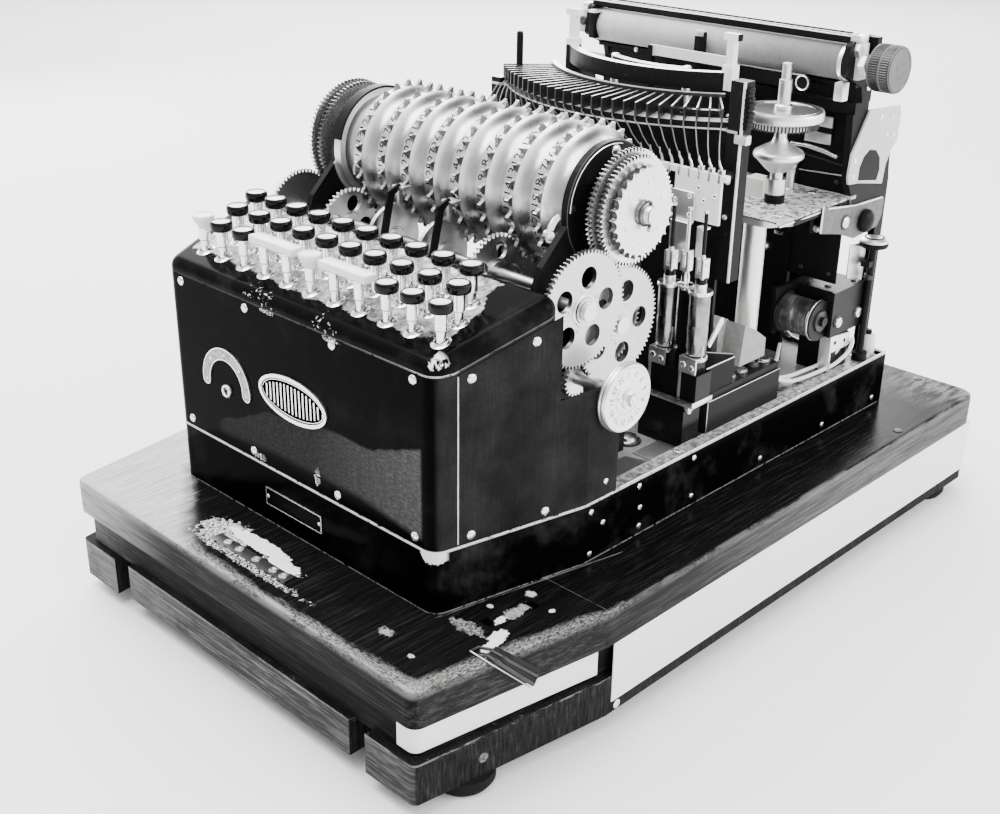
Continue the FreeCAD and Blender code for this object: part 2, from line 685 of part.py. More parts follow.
b = doc.addObject("PartDesign::Body", "RotorShaft")
disc_pad(b, "ShaftCore", -152.0, 310.0, rad="shaft_rad")
disc_pad(b, "RingA", 133.0, "gear_wide", gear_outline(Z_A, P_A))
disc_pad(b, "RingB", 139.5, "gear_wide", gear_outline(Z_B, P_B))
disc_pad(b, "HubRight", 122.0, 24.0, rad=24.0)
disc_pad(b, "Ratchet", 145.5, 4.0, saw_outline(28, 31.5, 28.2, lean=-1))
disc_pad(b, "RingL", -148.0, "gear_wide", gear_outline(Z_L, P_L))
disc_pad(b, "RingM", -139.0, "gear_wide", gear_outline(78, 1.0))
disc_pad(b, "HubLeft", -150.0, 25.0, rad=26.0)
node(b, "rotor_shaft_gears", "axis_y + frame_y", "axis_z + frame_z")

b = doc.addObject("PartDesign::Body", "RearIdler")
disc_pad(b, "RearWheel", 133.0, "gear_wide", gear_outline(Z_REAR, P_REAR), bore="stud_rad + run_gap",
         holes=five_holes(23.5, 7.6, 70))
disc_pad(b, "RearHub", 126.0, 12.0, rad=10.0, bore="stud_rad + run_gap")
disc_pad(b, "RearInner", 124.0, "gear_wide", gear_outline(Z_REAR2, P_REAR2), bore="stud_rad + run_gap")
node(b, "idler_gear_rear", "%.6f + frame_y" % C_REAR[0], "%.6f + frame_z" % C_REAR[1])

b = doc.addObject("PartDesign::Body", "FrontIdler")
disc_pad(b, "FrontWheel", 139.5, "gear_wide", gear_outline(Z_FRONT, P_FRONT), bore="stud_rad + run_gap",
         holes=five_holes(22.0, 7.6, 80))
disc_pad(b, "FrontHub", 138.2, 6.6, rad=9.0, bore="stud_rad + run_gap")
node(b, "idler_gear_front", "%.6f + frame_y" % C_FRONT[0], "%.6f + frame_z" % C_FRONT[1])

b = doc.addObject("PartDesign::Body", "HandWheel")
disc_pad(b, "HandShaft", 100.0, 74.5, rad="stud_rad")
disc_pad(b, "HandPinion", 123.5, 4.5, gear_outline(Z_HAND, P_HAND))
disc_pad(b, "HandSleeve", 138.5, 28.0, rad=6.5)
disc_pad(b, "HandRim", 166.0, "wheel_thick", rad="wheel_rad")
doc.recompute()
round_edges(b, "HandEdge", ["Edge%d" % (i + 1) for i, e in enumerate(b.Tip.Shape.Edges)
                            if hasattr(e.Curve, "Radius") and abs(e.Curve.Radius - S["wheel_rad"]) < 1e-3], 1.6)
disc_pad(b, "HandBoss", 172.0, 3.3, rad=7.0)
node(b, "hand_wheel", "%.6f + frame_y" % C_HAND[0], "%.6f + frame_z" % C_HAND[1])

# stepping shaft with two toothed wheels, two plain cams and its drive wheel
b = doc.addObject("PartDesign::Body", "StepShaft")
disc_pad(b, "StepCore", -150.0, 274.0, rad="cog_shaft")
disc_pad(b, "StepDrive", -148.0, "gear_wide", gear_outline(Z_COG, P_COG))
for k, x in enumerate((-90.0, -38.2, 13.6, 65.4)):
    if k in (0, 3):
        pts = []
        for t in range(40):
            for fr, r in ((0.0, 24.9), (0.22, 27.0), (0.42, 27.0), (0.64, 24.9)):
                a = 2 * math.pi * (t + fr) / 40
                pts.append((r * math.cos(a), r * math.sin(a)))
        disc_pad(b, "StepWheel%d" % k, x, "cog_thick", pts, holes=five_holes(15.2, 6.4, 75, 4))
    else:
        pts = [((26.5 if 25 < t * 10 < 300 else 23.0) * math.cos(math.radians(t * 10)),
                (26.5 if 25 < t * 10 < 300 else 23.0) * math.sin(math.radians(t * 10))) for t in range(36)]
        disc_pad(b, "StepWheel%d" % k, x, "cog_thick", pts)
    disc_pad(b, "StepHub%d" % k, x - 2.5, 8.0, rad=8.0)
node(b, "stepping_shaft", "%.6f + frame_y" % C_COG[0], "%.6f + frame_z" % C_COG[1])

# ----------------------------------------------------------------------
# rotor frame: two end plates with bearings, contact ring, studs and ties
# ----------------------------------------------------------------------
PR = S["plate_rad"]


def end_plate(x, thick):
    pts = []
    for k in range(33):
        a = math.radians(-10 + 200.0 * k / 32)
        pts.append((AY + PR * math.cos(a), AZ + PR * math.sin(a)))
    pts += [(118.0, 204.0), (113.0, 190.0), (113.0, 39.0), (214.0, 39.0), (222.0, 190.0)]
    return static_prism(pts, x, thick, "x")


sh = S["shaft_rad"] + S["run_gap"]
frame = [cut(end_plate(S["plate_left"], S["plate_thick"]),
             [cyl((-130.0, AY, AZ), sh, 20.0, "x"), cyl((-130.0, C_COG[0], C_COG[1]), "cog_shaft + run_gap", 20.0, "x")]),
         cut(end_plate(S["plate_right"], S["plate_thick"]),
             [cyl((110.0, AY, AZ), sh, 20.0, "x"), cyl((110.0, C_COG[0], C_COG[1]), "cog_shaft + run_gap", 20.0, "x"),
              cyl((110.0, C_HAND[0], C_HAND[1]), "stud_rad + run_gap", 20.0, "x")])]
# contact ring facing the first rotor
frame.append(cut(cyl((-118.5, AY, AZ), "plate_rad + 0.5", 7.0, "x"), cyl((-119.0, AY, AZ), 38.5, 9.0, "x")))
frame.append(cut(cyl((-118.5, AY, AZ), 36.0, 24.0, "x"), cyl((-119.0, AY, AZ), 14.0, 30.0, "x")))
# studs and cap nuts of the idlers
frame.append(cyl((119.0, C_REAR[0], C_REAR[1]), "stud_rad", 21.0, "x"))
frame.append(cyl((138.5, C_REAR[0], C_REAR[1]), 6.3, 3.6, "x"))
frame.append(cyl((119.0, C_FRONT[0], C_FRONT[1]), "stud_rad", 28.0, "x"))
frame.append(cyl((145.3, C_FRONT[0], C_FRONT[1]), 6.3, 3.6, "x"))
# tie bars between the plates
for y, z in ((205.0, 120.0), (205.0, 60.0), (122.0, 60.0), (122.0, 140.0)):
    frame.append(cyl((-120.0, y, z), 4.5, 236.0, "x"))
# pawl bar with two upright pawls, each in line with a rotor's toothed rim and
# standing just clear of the tooth points
frame.append(box((-119.0, 110.0, 150.0), (235.0, 6.0, 5.0)))
for x in (-30.2, 21.6):
    frame.append(static_prism([(110.0, 152.0), (116.0, 152.0), (114.0, 190.0), (121.5, 222.0), (128.5, 227.0),
                               (126.5, 229.5), (116.0, 225.5), (108.0, 190.0)], x, 2.0, "x"))
node(fuse(frame, "RotorFrame"), "rotor_frame")

# ----------------------------------------------------------------------
# printing unit frame
# ----------------------------------------------------------------------
FX, FYC, FZ = S["fan_x"], S["fan_y"], S["fan_z"]


def arc_band(r0, r1, a0, a1, z, tall, n=40):
    """Flat ring sector about the printing point; angles from straight forward, plus to the right."""
    pts = []
    for k in range(n + 1):
        a = math.radians(a0 + (a1 - a0) * k / n)
        pts.append((FX + r1 * math.sin(a), FYC - r1 * math.cos(a)))
    for k in range(n, -1, -1):
        a = math.radians(a0 + (a1 - a0) * k / n)
        pts.append((FX + r0 * math.sin(a), FYC - r0 * math.cos(a)))
    return static_prism(pts, z, tall, "z")


unit = []
# bed plate inside the tray with the edge rails
unit.append(box((-162.0, 120.0, 34.0), (324.0, 392.0, 5.0)))
for x in (-156.0, 156.0):
    for y in (127.0, 505.0):
        unit.append(cyl((x, y, 3.0), 4.0, 32.0))
unit.append(box((150.0, 152.0, 38.5), (12.0, 358.0, 5.5)))
unit.append(box((-162.0, 152.0, 38.5), (12.0, 358.0, 5.5)))
# front posts, beam and the arc that carries the levers
unit.append(box((132.0, 296.0, 157.0), (12.0, 12.0, 147.0)))
unit.append(box((-104.0, 296.0, 38.5), (10.0, 12.0, 235.0)))
unit.append(arc_band(158.0, 171.0, -43.0, 42.5, 268.3, 5.5))
unit.append(box((-104.0, 298.0, 258.0), (248.0, 6.0, 12.0)))
# front screen behind the wires, standing on the bed plate, with a lug to the short post
unit.append(box((-98.0, 302.0, 38.5), (226.0, 3.0, 221.5)))
unit.append(box((127.0, 302.0, 157.0), (10.0, 3.0, 103.0)))
# inner ring that guides the type bars, with its two end posts
unit.append(arc_band(112.0, 119.0, -45.0, 43.0, 286.0, 13.0))
for a in (-44.0, 42.0):
    px = FX + 115.5 * math.sin(math.radians(a))
    py = FYC - 115.5 * math.cos(math.radians(a))
    unit.append(box((px - 4.5, py - 4.5, 186.0 if a > 0 else 186.0), (9.0, 9.0, 118.0)))
    unit.append(box((px - 3.0, py - 3.0, 300.0), (6.0, 6.0, 24.0)))
    unit.append(box((px - 6.5, py - 3.0, 322.0), (13.0, 6.0, 5.0)))
# comb bar of the pull wires and the white contact plate below it
unit.append(box((-96.0, 268.0, 240.0), (250.0, 5.0, 4.0)))
for x in (-96.0, 134.0):
    unit.append(box((x, 271.0, 236.0), (8.0, 28.0, 5.0)))
unit.append(box((110.0, 268.0, 208.0), (40.0, 2.5, 33.0)))
# shelf plate, column and rear wall
unit.append(static_prism([(-110.0, 345.0), (140.0, 345.0, 12.0), (152.0, 366.0, 10), (150.0, 452.0), (-110.0, 452.0)],
                         188.0, 6.5, "z"))
unit.append(cyl((120.0, 362.0, 38.5), "column_rad", 150.0))
unit.append(cyl((-92.0, 362.0, 38.5), "column_rad", 150.0))
unit.append(box((-112.0, 448.0, 38.5), (212.0, 4.0, 224.0)))
# cast bracket at the foot of the column
unit.append(static_prism([(312.0, 38.0), (352.0, 38.0), (352.0, 86.0), (338.0, 106.0), (322.0, 118.0), (312.0, 112.0)],
                         92.0, 36.5, "x"))
unit.append(static_prism([(318.0, 84.0), (352.0, 84.0), (352.0, 99.0), (336.0, 110.0), (322.0, 117.0)], 120.0, 26.0, "x"))
# carriage rail on two rear castings
unit.append(box((-138.0, 436.0, 262.0), (290.0, 20.0, 9.0)))
for x in (-138.0, 146.0):
    unit.append(static_prism([(434.0, 262.5), (457.0, 262.5), (466.0, 232.0), (500.0, 222.0), (503.0, 196.0),
                              (486.0, 178.0), (470.0, 168.0), (452.0, 172.0), (446.0, 196.0), (438.0, 210.0)], x, 6.0, "x"))
    unit.append(box((x, 491.0, 38.5), (6.0, 12.0, 165.0)))
unit.append(box((-138.0, 480.0, 178.0), (290.0, 5.0, 28.0)))
unit.append(box((-138.0, 492.0, 60.0), (238.0, 4.0, 112.0)))
# ribbon and shelf details: square block, small pillar, bearing of the spindle
unit.append(box((86.0, 392.0, 194.0), (18.0, 16.0, 15.0)))
unit.append(cyl((106.0, 428.0, 194.0), 3.2, 26.0))
unit.append(cyl(("spindle_x", "spindle_y", 194.0), 8.0, 8.0))
# type guide bar in front of the platen
unit.append(box((-22.0, 398.0, 290.0), (84.0, 3.0, 8.0)))
for x in (-22.0, 58.0):
    unit.append(box((x, 396.0, 194.0), (4.0, 5.0, 104.0)))
# upright adjusting rod at the rear right corner, with its cap
unit.append(cyl((156.0, 486.0, 38.5), 3.0, 108.0))
unit.append(cyl((156.0, 486.0, 146.0), 8.5, 9.0))
unit.append(cyl((156.0, 486.0, 38.5), 6.5, 14.0))
unit.append(box((150.5, 478.0, 130.0), (8.0, 12.0, 5.0)))
unit_fused = fuse(unit, "PrintFrameBlock")
node(cut(unit_fused, [cyl(("spindle_x", "spindle_y", 180.0), "5 + run_gap", 40.0)], "PrintFrame"), "print_unit_frame")

# type levers: thin radial plates in a fan about the printing point
N_LEVER = 28
SPAN0, SPAN1 = -42.5, 38.5
shapes = []
for k in range(N_LEVER):
    a = SPAN0 + (SPAN1 - SPAN0) * k / (N_LEVER - 1)
    t = S["lever_thick"] / 2
    blade = prism([(-t, -S["fan_out"]), (t, -S["fan_out"]), (t, -S["fan_in"]), (-t, -S["fan_in"])],
                  FZ - S["plate_tall"] - 1.2, S["plate_tall"])
    blade.rotate(V(0, 0, 0), V(0, 0, 1), a)
    blade.translate(V(FX, FYC, 0))
    shapes.append(blade)
# two rings that hold the lever pivots together
for r0, r1, z, tall in ((129.0, 133.5, FZ - 1.3, 2.4), (129.0, 133.5, FZ - 13.6, 2.5)):
    shapes.append(prism([(r1 * math.sin(math.radians(-44 + 84 * q / 40.0)), -r1 * math.cos(math.radians(-44 + 84 * q / 40.0)))
                         for q in range(41)] +
                        [(r0 * math.sin(math.radians(-44 + 84 * q / 40.0)), -r0 * math.cos(math.radians(-44 + 84 * q / 40.0)))
                         for q in range(40, -1, -1)], z, tall).translated(V(FX, FYC, 0)))
fan = shapes[0].multiFuse(shapes[1:])
feature(fan, "type_lever_fan")

# ----------------------------------------------------------------------
# electrical pieces on the right of the bed
# ----------------------------------------------------------------------
sol = []
SY = S["solenoid_y"]
for x, z in ((121.0, 112.0), (149.0, 112.0)):
    sol.append(cyl((x, SY, z), "solenoid_rad", 50.0))
    sol.append(cyl((x, SY, z - 1.5), "solenoid_rad + 0.8", 2.0))
    sol.append(cyl((x, SY, z + 49.0), "solenoid_rad + 0.8", 2.0))
    sol.append(cyl((x, SY, z + 50.0), 4.2, 11.0))
    sol.append(cyl((x, SY, z + 60.0), 1.4, 50.0))
    sol.append(box((x - 5.0, SY - 6.0, z - 12.0), (10.0, 12.0, 11.0)))
sol.append(box((106.0, SY - 12.0, 76.0), (52.0, 24.0, 4.0)))
sol.append(box((110.0, SY - 9.0, 79.5), (48.0, 18.0, 21.0)))
sol.append(box((108.0, SY - 10.0, 39.0), (41.5, 20.0, 37.5)))
node(fuse(sol, "Solenoids"), "solenoid_pair")

term = [box((130.0, 272.0, 44.2), (22.0, 96.0, 26.0)), box((131.5, 273.5, 70.0), (19.0, 93.0, 6.0))]
for k in range(6):
    term.append(cyl((141.0, 281.0 + 15.6 * k, 75.0), 5.2, 3.6))
node(fuse(term, "Terminals"), "terminal_strip")

em = [cyl((114.0, 429.0, 93.0), "coil_rad", 32.0, "x"), cyl((112.0, 429.0, 93.0), "coil_rad + 2", 2.5, "x"),
      cyl((145.0, 429.0, 93.0), "coil_rad + 2", 2.5, "x"), cyl((108.0, 429.0, 93.0), 4.0, 44.0, "x"),
      box((150.0, 438.0, 77.0), (3.0, 50.0, 39.0)), box((116.0, 440.0, 98.0), (34.5, 46.0, 18.0)),
      box((116.0, 452.0, 39.2), (30.0, 26.0, 60.0)), box((109.0, 414.0, 76.0), (3.5, 60.0, 40.0)),
      box((146.2, 450.0, 44.2), (4.0, 22.0, 33.0)),
      cyl((152.5, 447.0, 89.0), 4.2, 2.2, "x"), cyl((152.5, 478.0, 90.0), 4.2, 2.2, "x")]
node(fuse(em, "Magnet"), "electromagnet")

# ----------------------------------------------------------------------
# carriage with its platen, and the ribbon spindle
# ----------------------------------------------------------------------
PY, PZ = S["platen_y"], S["platen_z"]
car = []
plate_side = [(410.0, 296.0, 3), (414.0, 318.0, 5), (432.0, 324.0, 3), (448.0, 320.0, 3), (452.0, 271.6), (440.0, 271.6), (436.0, 284.0)]
for x in (-104.0, 150.0):
    car.append(cut(static_prism(plate_side, x, 5.0, "x"), cyl((x - 5.0, PY, PZ), "4 + run_gap", 15.0, "x")))
car.append(box((-104.0, 439.0, 271.5), (259.0, 13.0, 10.0)))
car.append(box((-104.0, 444.5, 280.0), (259.0, 2.0, 42.0)))
car.append(box((-104.0, 420.0, 319.0), (259.0, 8.0, 4.0)))
car.append(box((-103.0, 429.0, 284.0), (257.0, 14.0, 3.0)))
car.append(box((-30.0, 409.0, 280.5), (150.0, 2.0, 11.0)))
for x in (-30.0, 114.0):
    car.append(box((x, 409.0, 280.5), (6.0, 34.0, 3.0)))
car.append(box((154.0, 438.0, 292.0), (9.0, 6.0, 30.0)))
node(fuse(car, "Carriage"), "carriage_frame")

b = doc.addObject("PartDesign::Body", "Platen")
disc_pad(b, "PlatenShaft", -112.0, 294.0, rad=4.0)
disc_pad(b, "PlatenRoll", -98.0, 245.5, rad="platen_rad")
disc_pad(b, "PlatenKnob", 172.0, 18.0, rad="knob_rad")
disc_pad(b, "PlatenCollar", 158.0, 14.5, rad=6.0)
disc_pad(b, "PlatenLeft", -112.0, 5.0, rad=9.0)
node(b, "platen_roller", "platen_y + frame_y", "platen_z + frame_z")

sp = [cyl(("spindle_x", "spindle_y", 195.0), 5.0, 96.0),
      cyl(("spindle_x", "spindle_y", 290.0), 3.6, 13.0),
      cyl(("spindle_x", "spindle_y", 262.0), "disc_rad", 6.5),
      cone(("spindle_x", "spindle_y", 255.5), "disc_rad - 8", "disc_rad - 3", 6.6),
      cone(("spindle_x", "spindle_y", 222.0), 9.0, 19.0, 10.0),
      cyl(("spindle_x", "spindle_y", 232.0), 19.0, 3.5),
      cone(("spindle_x", "spindle_y", 235.5), 19.0, 7.0, 7.0),
      cyl(("spindle_x", "spindle_y", 203.0), 8.0, 12.0)]
node(fuse(sp, "Spindle"), "ribbon_spindle")

# ----------------------------------------------------------------------
doc.recompute()
bad = []
for o in doc.Objects:
    st = [t for t in o.State if t in ("Invalid", "Error")]
    if st:
        bad.append("%s %s %s" % (o.Name, o.Label, st))
for o in NODES:
    if o.Shape.isNull() or not o.Shape.isValid():
        bad.append("%s has no valid shape" % o.Label)
if bad:
    for line in bad:
        print("FAILED", line)
    raise SystemExit(1)

os.makedirs("parts", exist_ok=True)
wanted = set(o.Label + ".step" for o in NODES)
for name in os.listdir("parts"):
    if name.endswith(".step") and name not in wanted:
        os.remove(os.path.join("parts", name))
for o in NODES:
    bb = o.Shape.BoundBox
    print("%-20s solids %2d vol %9.0f  x %7.1f %7.1f  y %7.1f %7.1f  z %6.1f %6.1f" % (
        o.Label, len(o.Shape.Solids), o.Shape.Volume, bb.XMin, bb.XMax, bb.YMin, bb.YMax, bb.ZMin, bb.ZMax))
    o.Shape.exportStep("parts/" + o.Label + ".step")
print("nodes", len(NODES))
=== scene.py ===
import bpy
import bmesh
import math
import random
from mathutils import Vector, Matrix


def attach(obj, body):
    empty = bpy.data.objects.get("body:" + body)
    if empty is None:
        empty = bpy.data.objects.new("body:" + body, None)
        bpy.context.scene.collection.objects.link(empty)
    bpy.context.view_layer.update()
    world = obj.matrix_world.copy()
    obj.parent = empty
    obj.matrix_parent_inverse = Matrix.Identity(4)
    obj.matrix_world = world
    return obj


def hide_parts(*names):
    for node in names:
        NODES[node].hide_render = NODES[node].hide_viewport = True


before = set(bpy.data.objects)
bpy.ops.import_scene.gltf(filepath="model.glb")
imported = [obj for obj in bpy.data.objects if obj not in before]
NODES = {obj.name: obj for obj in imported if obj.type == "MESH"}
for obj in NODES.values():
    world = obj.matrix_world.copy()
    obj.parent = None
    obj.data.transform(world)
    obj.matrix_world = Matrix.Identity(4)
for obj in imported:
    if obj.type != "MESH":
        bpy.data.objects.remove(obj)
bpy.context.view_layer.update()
random.seed(11)


def W(p):
    """Working frame in millimetres (zero at the middle of the machine's front face) to the row frame in metres."""
    return Vector((p[0] / 1000.0, (p[1] - 265.5) / 1000.0, (p[2] + 95.0) / 1000.0))


# ---------------------------------------------------------------- camera
az, el, roll = math.radians(44.04), math.radians(24.61), math.radians(-0.858)
back = Vector((math.sin(az) * math.cos(el), -math.cos(az) * math.cos(el), math.sin(el)))
fwd = -back
right = fwd.cross(Vector((0, 0, 1))).normalized()
down = fwd.cross(right).normalized()
cr, sr = math.cos(roll), math.sin(roll)
r2 = cr * right + sr * down
d2 = -sr * right + cr * down
cam_data = bpy.data.cameras.new("view_camera")
cam = bpy.data.objects.new("view_camera", cam_data)
bpy.context.scene.collection.objects.link(cam)
mw = Matrix.Identity(4)
for i in range(3):
    mw[i][0], mw[i][1], mw[i][2] = r2[i], -d2[i], back[i]
mw[0][3], mw[1][3], mw[2][3] = 0.681, -0.7655, 0.5817
cam.matrix_world = mw
cam_data.sensor_fit = "HORIZONTAL"
cam_data.sensor_width = 36.0
cam_data.lens = 48.48
cam_data.clip_start = 0.01
cam_data.clip_end = 50.0
bpy.context.scene.camera = cam

# ---------------------------------------------------------------- light
world = bpy.data.worlds.new("studio")
bpy.context.scene.world = world
world.use_nodes = True
wt = world.node_tree
wt.nodes.clear()
w_out = wt.nodes.new("ShaderNodeOutputWorld")
w_bg = wt.nodes.new("ShaderNodeBackground")
w_tc = wt.nodes.new("ShaderNodeTexCoord")
w_sep = wt.nodes.new("ShaderNodeSeparateXYZ")
w_ramp = wt.nodes.new("ShaderNodeValToRGB")
w_mad = wt.nodes.new("ShaderNodeMath")
w_mad.operation = "MULTIPLY_ADD"
w_mad.inputs[1].default_value = 0.5
w_mad.inputs[2].default_value = 0.5
wt.links.new(w_tc.outputs["Generated"], w_sep.inputs[0])
wt.links.new(w_sep.outputs["Y"], w_mad.inputs[0])
wt.links.new(w_mad.outputs[0], w_ramp.inputs[0])
w_ramp.color_ramp.elements[0].position = 0.15
w_ramp.color_ramp.elements[0].color = (0.26, 0.26, 0.26, 1)
w_ramp.color_ramp.elements[1].position = 0.62
w_ramp.color_ramp.elements[1].color = (1.0, 1.0, 1.0, 1)
wt.links.new(w_ramp.outputs[0], w_bg.inputs[0])
w_dot = wt.nodes.new("ShaderNodeVectorMath")
w_dot.operation = "DOT_PRODUCT"
w_dot.inputs[1].default_value = Vector((0.28, 0.58, 0.765)).normalized()
w_flag = wt.nodes.new("ShaderNodeMapRange")
w_flag.interpolation_type = "SMOOTHSTEP"
w_flag.inputs["From Min"].default_value = 0.80
w_flag.inputs["From Max"].default_value = 0.95
w_flag.inputs["To Min"].default_value = 3.8
w_flag.inputs["To Max"].default_value = 0.12
wt.links.new(w_tc.outputs["Generated"], w_dot.inputs[0])
wt.links.new(w_dot.outputs["Value"], w_flag.inputs["Value"])
wt.links.new(w_flag.outputs["Result"], w_bg.inputs[1])
wt.links.new(w_bg.outputs[0], w_out.inputs[0])


def area(name, loc, target, size, power):
    d = bpy.data.lights.new(name, "AREA")
    d.shape = "RECTANGLE"
    d.size, d.size_y = size
    d.energy = power
    o = bpy.data.objects.new(name, d)
    bpy.context.scene.collection.objects.link(o)
    o.location = loc
    o.rotation_euler = (Vector(target) - Vector(loc)).to_track_quat("-Z", "Y").to_euler()
    return o


area("soft_top", (-0.4, -0.5, 2.2), (0, 0, 0.15), (1.8, 1.6), 95)
area("soft_left", (-1.9, 0.3, 1.0), (0, 0, 0.2), (1.0, 1.3), 26)
area("soft_back", (-2.1, 2.2, 1.5), (0, 0, 0.1), (2.6, 1.6), 110)
area("soft_right", (1.6, 0.9, 1.2), (0, 0.05, 0.2), (0.9, 1.1), 30)


# ---------------------------------------------------------------- material kit
class Mat:
    def __init__(s, name, **consts):
        s.m = bpy.data.materials.new(name)
        s.m.use_nodes = True
        s.t = s.m.node_tree
        s.t.nodes.clear()
        s.out = s.t.nodes.new("ShaderNodeOutputMaterial")
        s.b = s.t.nodes.new("ShaderNodeBsdfPrincipled")
        s.t.links.new(s.b.outputs[0], s.out.inputs[0])
        tc = s.t.nodes.new("ShaderNodeTexCoord")
        s.mm = s.vec("MULTIPLY_ADD", tc.outputs["Object"], (1000.0, 1000.0, 1000.0), (0.0, 265.5, -95.0))
        sep = s.t.nodes.new("ShaderNodeSeparateXYZ")
        s.t.links.new(s.mm, sep.inputs[0])
        s.x, s.y, s.z = sep.outputs
        for k, v in consts.items():
            s.put(k, v)

    def put(s, key, v):
        names = {"base": "Base Color", "rough": "Roughness", "metal": "Metallic", "ior": "IOR", "coat": "Coat Weight",
                 "coat_rough": "Coat Roughness", "spec": "Specular IOR Level", "normal": "Normal"}
        s.wire(s.b.inputs[names[key]], v)
        return s

    def wire(s, sock, v):
        if isinstance(v, bpy.types.NodeSocket):
            s.t.links.new(v, sock)
        elif isinstance(v, (tuple, list)) and sock.type == "RGBA" and len(v) == 3:
            sock.default_value = (*v, 1.0)
        elif isinstance(v, (int, float)) and sock.type == "RGBA":
            sock.default_value = (v, v, v, 1.0)
        else:
            sock.default_value = v

    def vec(s, op, a, b=None, c=None):
        n = s.t.nodes.new("ShaderNodeVectorMath")
        n.operation = op
        for i, v in enumerate((a, b, c)):
            if v is not None:
                s.wire(n.inputs[i], v)
        return n.outputs[0]

    def f(s, op, a, b=None, c=None, clamp=False):
        n = s.t.nodes.new("ShaderNodeMath")
        n.operation = op
        n.use_clamp = clamp
        for i, v in enumerate((a, b, c)):
            if v is not None:
                s.wire(n.inputs[i], v)
        return n.outputs[0]

    def step(s, v, lo, hi, out0=0.0, out1=1.0):
        """Smooth step from lo to hi."""
        n = s.t.nodes.new("ShaderNodeMapRange")
        n.interpolation_type = "SMOOTHSTEP"
        s.wire(n.inputs["Value"], v)
        if lo > hi:
            lo, hi, out0, out1 = hi, lo, out1, out0
        n.inputs["From Min"].default_value = lo
        n.inputs["From Max"].default_value = hi
        n.inputs["To Min"].default_value = out0
        n.inputs["To Max"].default_value = out1
        return n.outputs["Result"]

    def band(s, v, lo, hi, soft):
        return s.f("MULTIPLY", s.step(v, lo - soft, lo + soft), s.step(v, hi + soft, hi - soft))

    def noise(s, size, detail=3.0, rough=0.55, stretch=(1, 1, 1), twist=0.0):
        """Noise whose features are about `size` mm; stretch > 1 makes them longer along that axis."""
        v = s.vec("MULTIPLY", s.mm, tuple(1.0 / (size * k) for k in stretch))
        n = s.t.nodes.new("ShaderNodeTexNoise")
        s.t.links.new(v, n.inputs["Vector"])
        n.inputs["Scale"].default_value = 1.0
        n.inputs["Detail"].default_value = detail
        n.inputs["Roughness"].default_value = rough
        n.inputs["Distortion"].default_value = twist
        return n.outputs[0]

    def cells(s, size, stretch=(1, 1, 1)):
        v = s.vec("MULTIPLY", s.mm, tuple(1.0 / (size * k) for k in stretch))
        n = s.t.nodes.new("ShaderNodeTexVoronoi")
        s.t.links.new(v, n.inputs["Vector"])
        n.inputs["Scale"].default_value = 1.0
        return n.outputs["Distance"]

    def mix(s, fac, a, b):
        n = s.t.nodes.new("ShaderNodeMix")
        n.data_type = "RGBA"
        s.wire(n.inputs["Factor"], fac)
        s.wire(n.inputs["A"] if False else n.inputs[6], a)
        s.wire(n.inputs[7], b)
        return n.outputs[2]

    def lerp(s, fac, a, b):
        n = s.t.nodes.new("ShaderNodeMix")
        n.data_type = "FLOAT"
        s.wire(n.inputs[0], fac)
        s.wire(n.inputs[2], a)
        s.wire(n.inputs[3], b)
        return n.outputs[0]

    def ramp(s, v, *stops):
        n = s.t.nodes.new("ShaderNodeValToRGB")
        s.wire(n.inputs[0], v)
        r = n.color_ramp
        while len(r.elements) < len(stops):
            r.elements.new(0.5)
        for e, (p, c) in zip(r.elements, stops):
            e.position = p
            e.color = (c, c, c, 1) if isinstance(c, (int, float)) else (*c, 1)
        return n.outputs[0]

    def line(s, v, *pts):
        """Piecewise straight curve through the points (v, value)."""
        x0, x1 = pts[0][0], pts[-1][0]
        z0, z1 = min(q[1] for q in pts), max(q[1] for q in pts)
        t = s.f("DIVIDE", s.f("SUBTRACT", v, x0), x1 - x0)
        r = s.ramp(t, *[((x - x0) / (x1 - x0), (z - z0) / (z1 - z0)) for x, z in pts])
        return s.f("MULTIPLY_ADD", r, z1 - z0, z0)

    def bump(s, height, dist=0.0002, strength=0.5):
        n = s.t.nodes.new("ShaderNodeBump")
        n.inputs["Distance"].default_value = dist
        n.inputs["Strength"].default_value = strength
        s.wire(n.inputs["Height"], height)
        s.t.links.new(n.outputs[0], s.b.inputs["Normal"])

    def facing(s):
        """Components of the surface normal in the row frame."""
        g = s.t.nodes.new("ShaderNodeTexCoord")
        sep = s.t.nodes.new("ShaderNodeSeparateXYZ")
        s.t.links.new(g.outputs["Normal"], sep.inputs[0])
        return sep.outputs

    def spot(s, u, v, cu, cv, ru, rv, rag=None, amount=0.0):
        """1 inside an ellipse in the (u, v) plane, with a ragged border."""
        a = s.f("POWER", s.f("DIVIDE", s.f("SUBTRACT", u, cu), ru), 2.0)
        b = s.f("POWER", s.f("DIVIDE", s.f("SUBTRACT", v, cv), rv), 2.0)
        d = s.f("SQRT", s.f("ADD", a, b))
        if rag is not None:
            d = s.f("ADD", d, s.f("MULTIPLY", s.f("SUBTRACT", rag, 0.5), amount))
        return s.step(d, 1.06, 0.94)

    def most(s, *masks):
        r = masks[0]
        for m in masks[1:]:
            r = s.f("MAXIMUM", r, m)
        return r


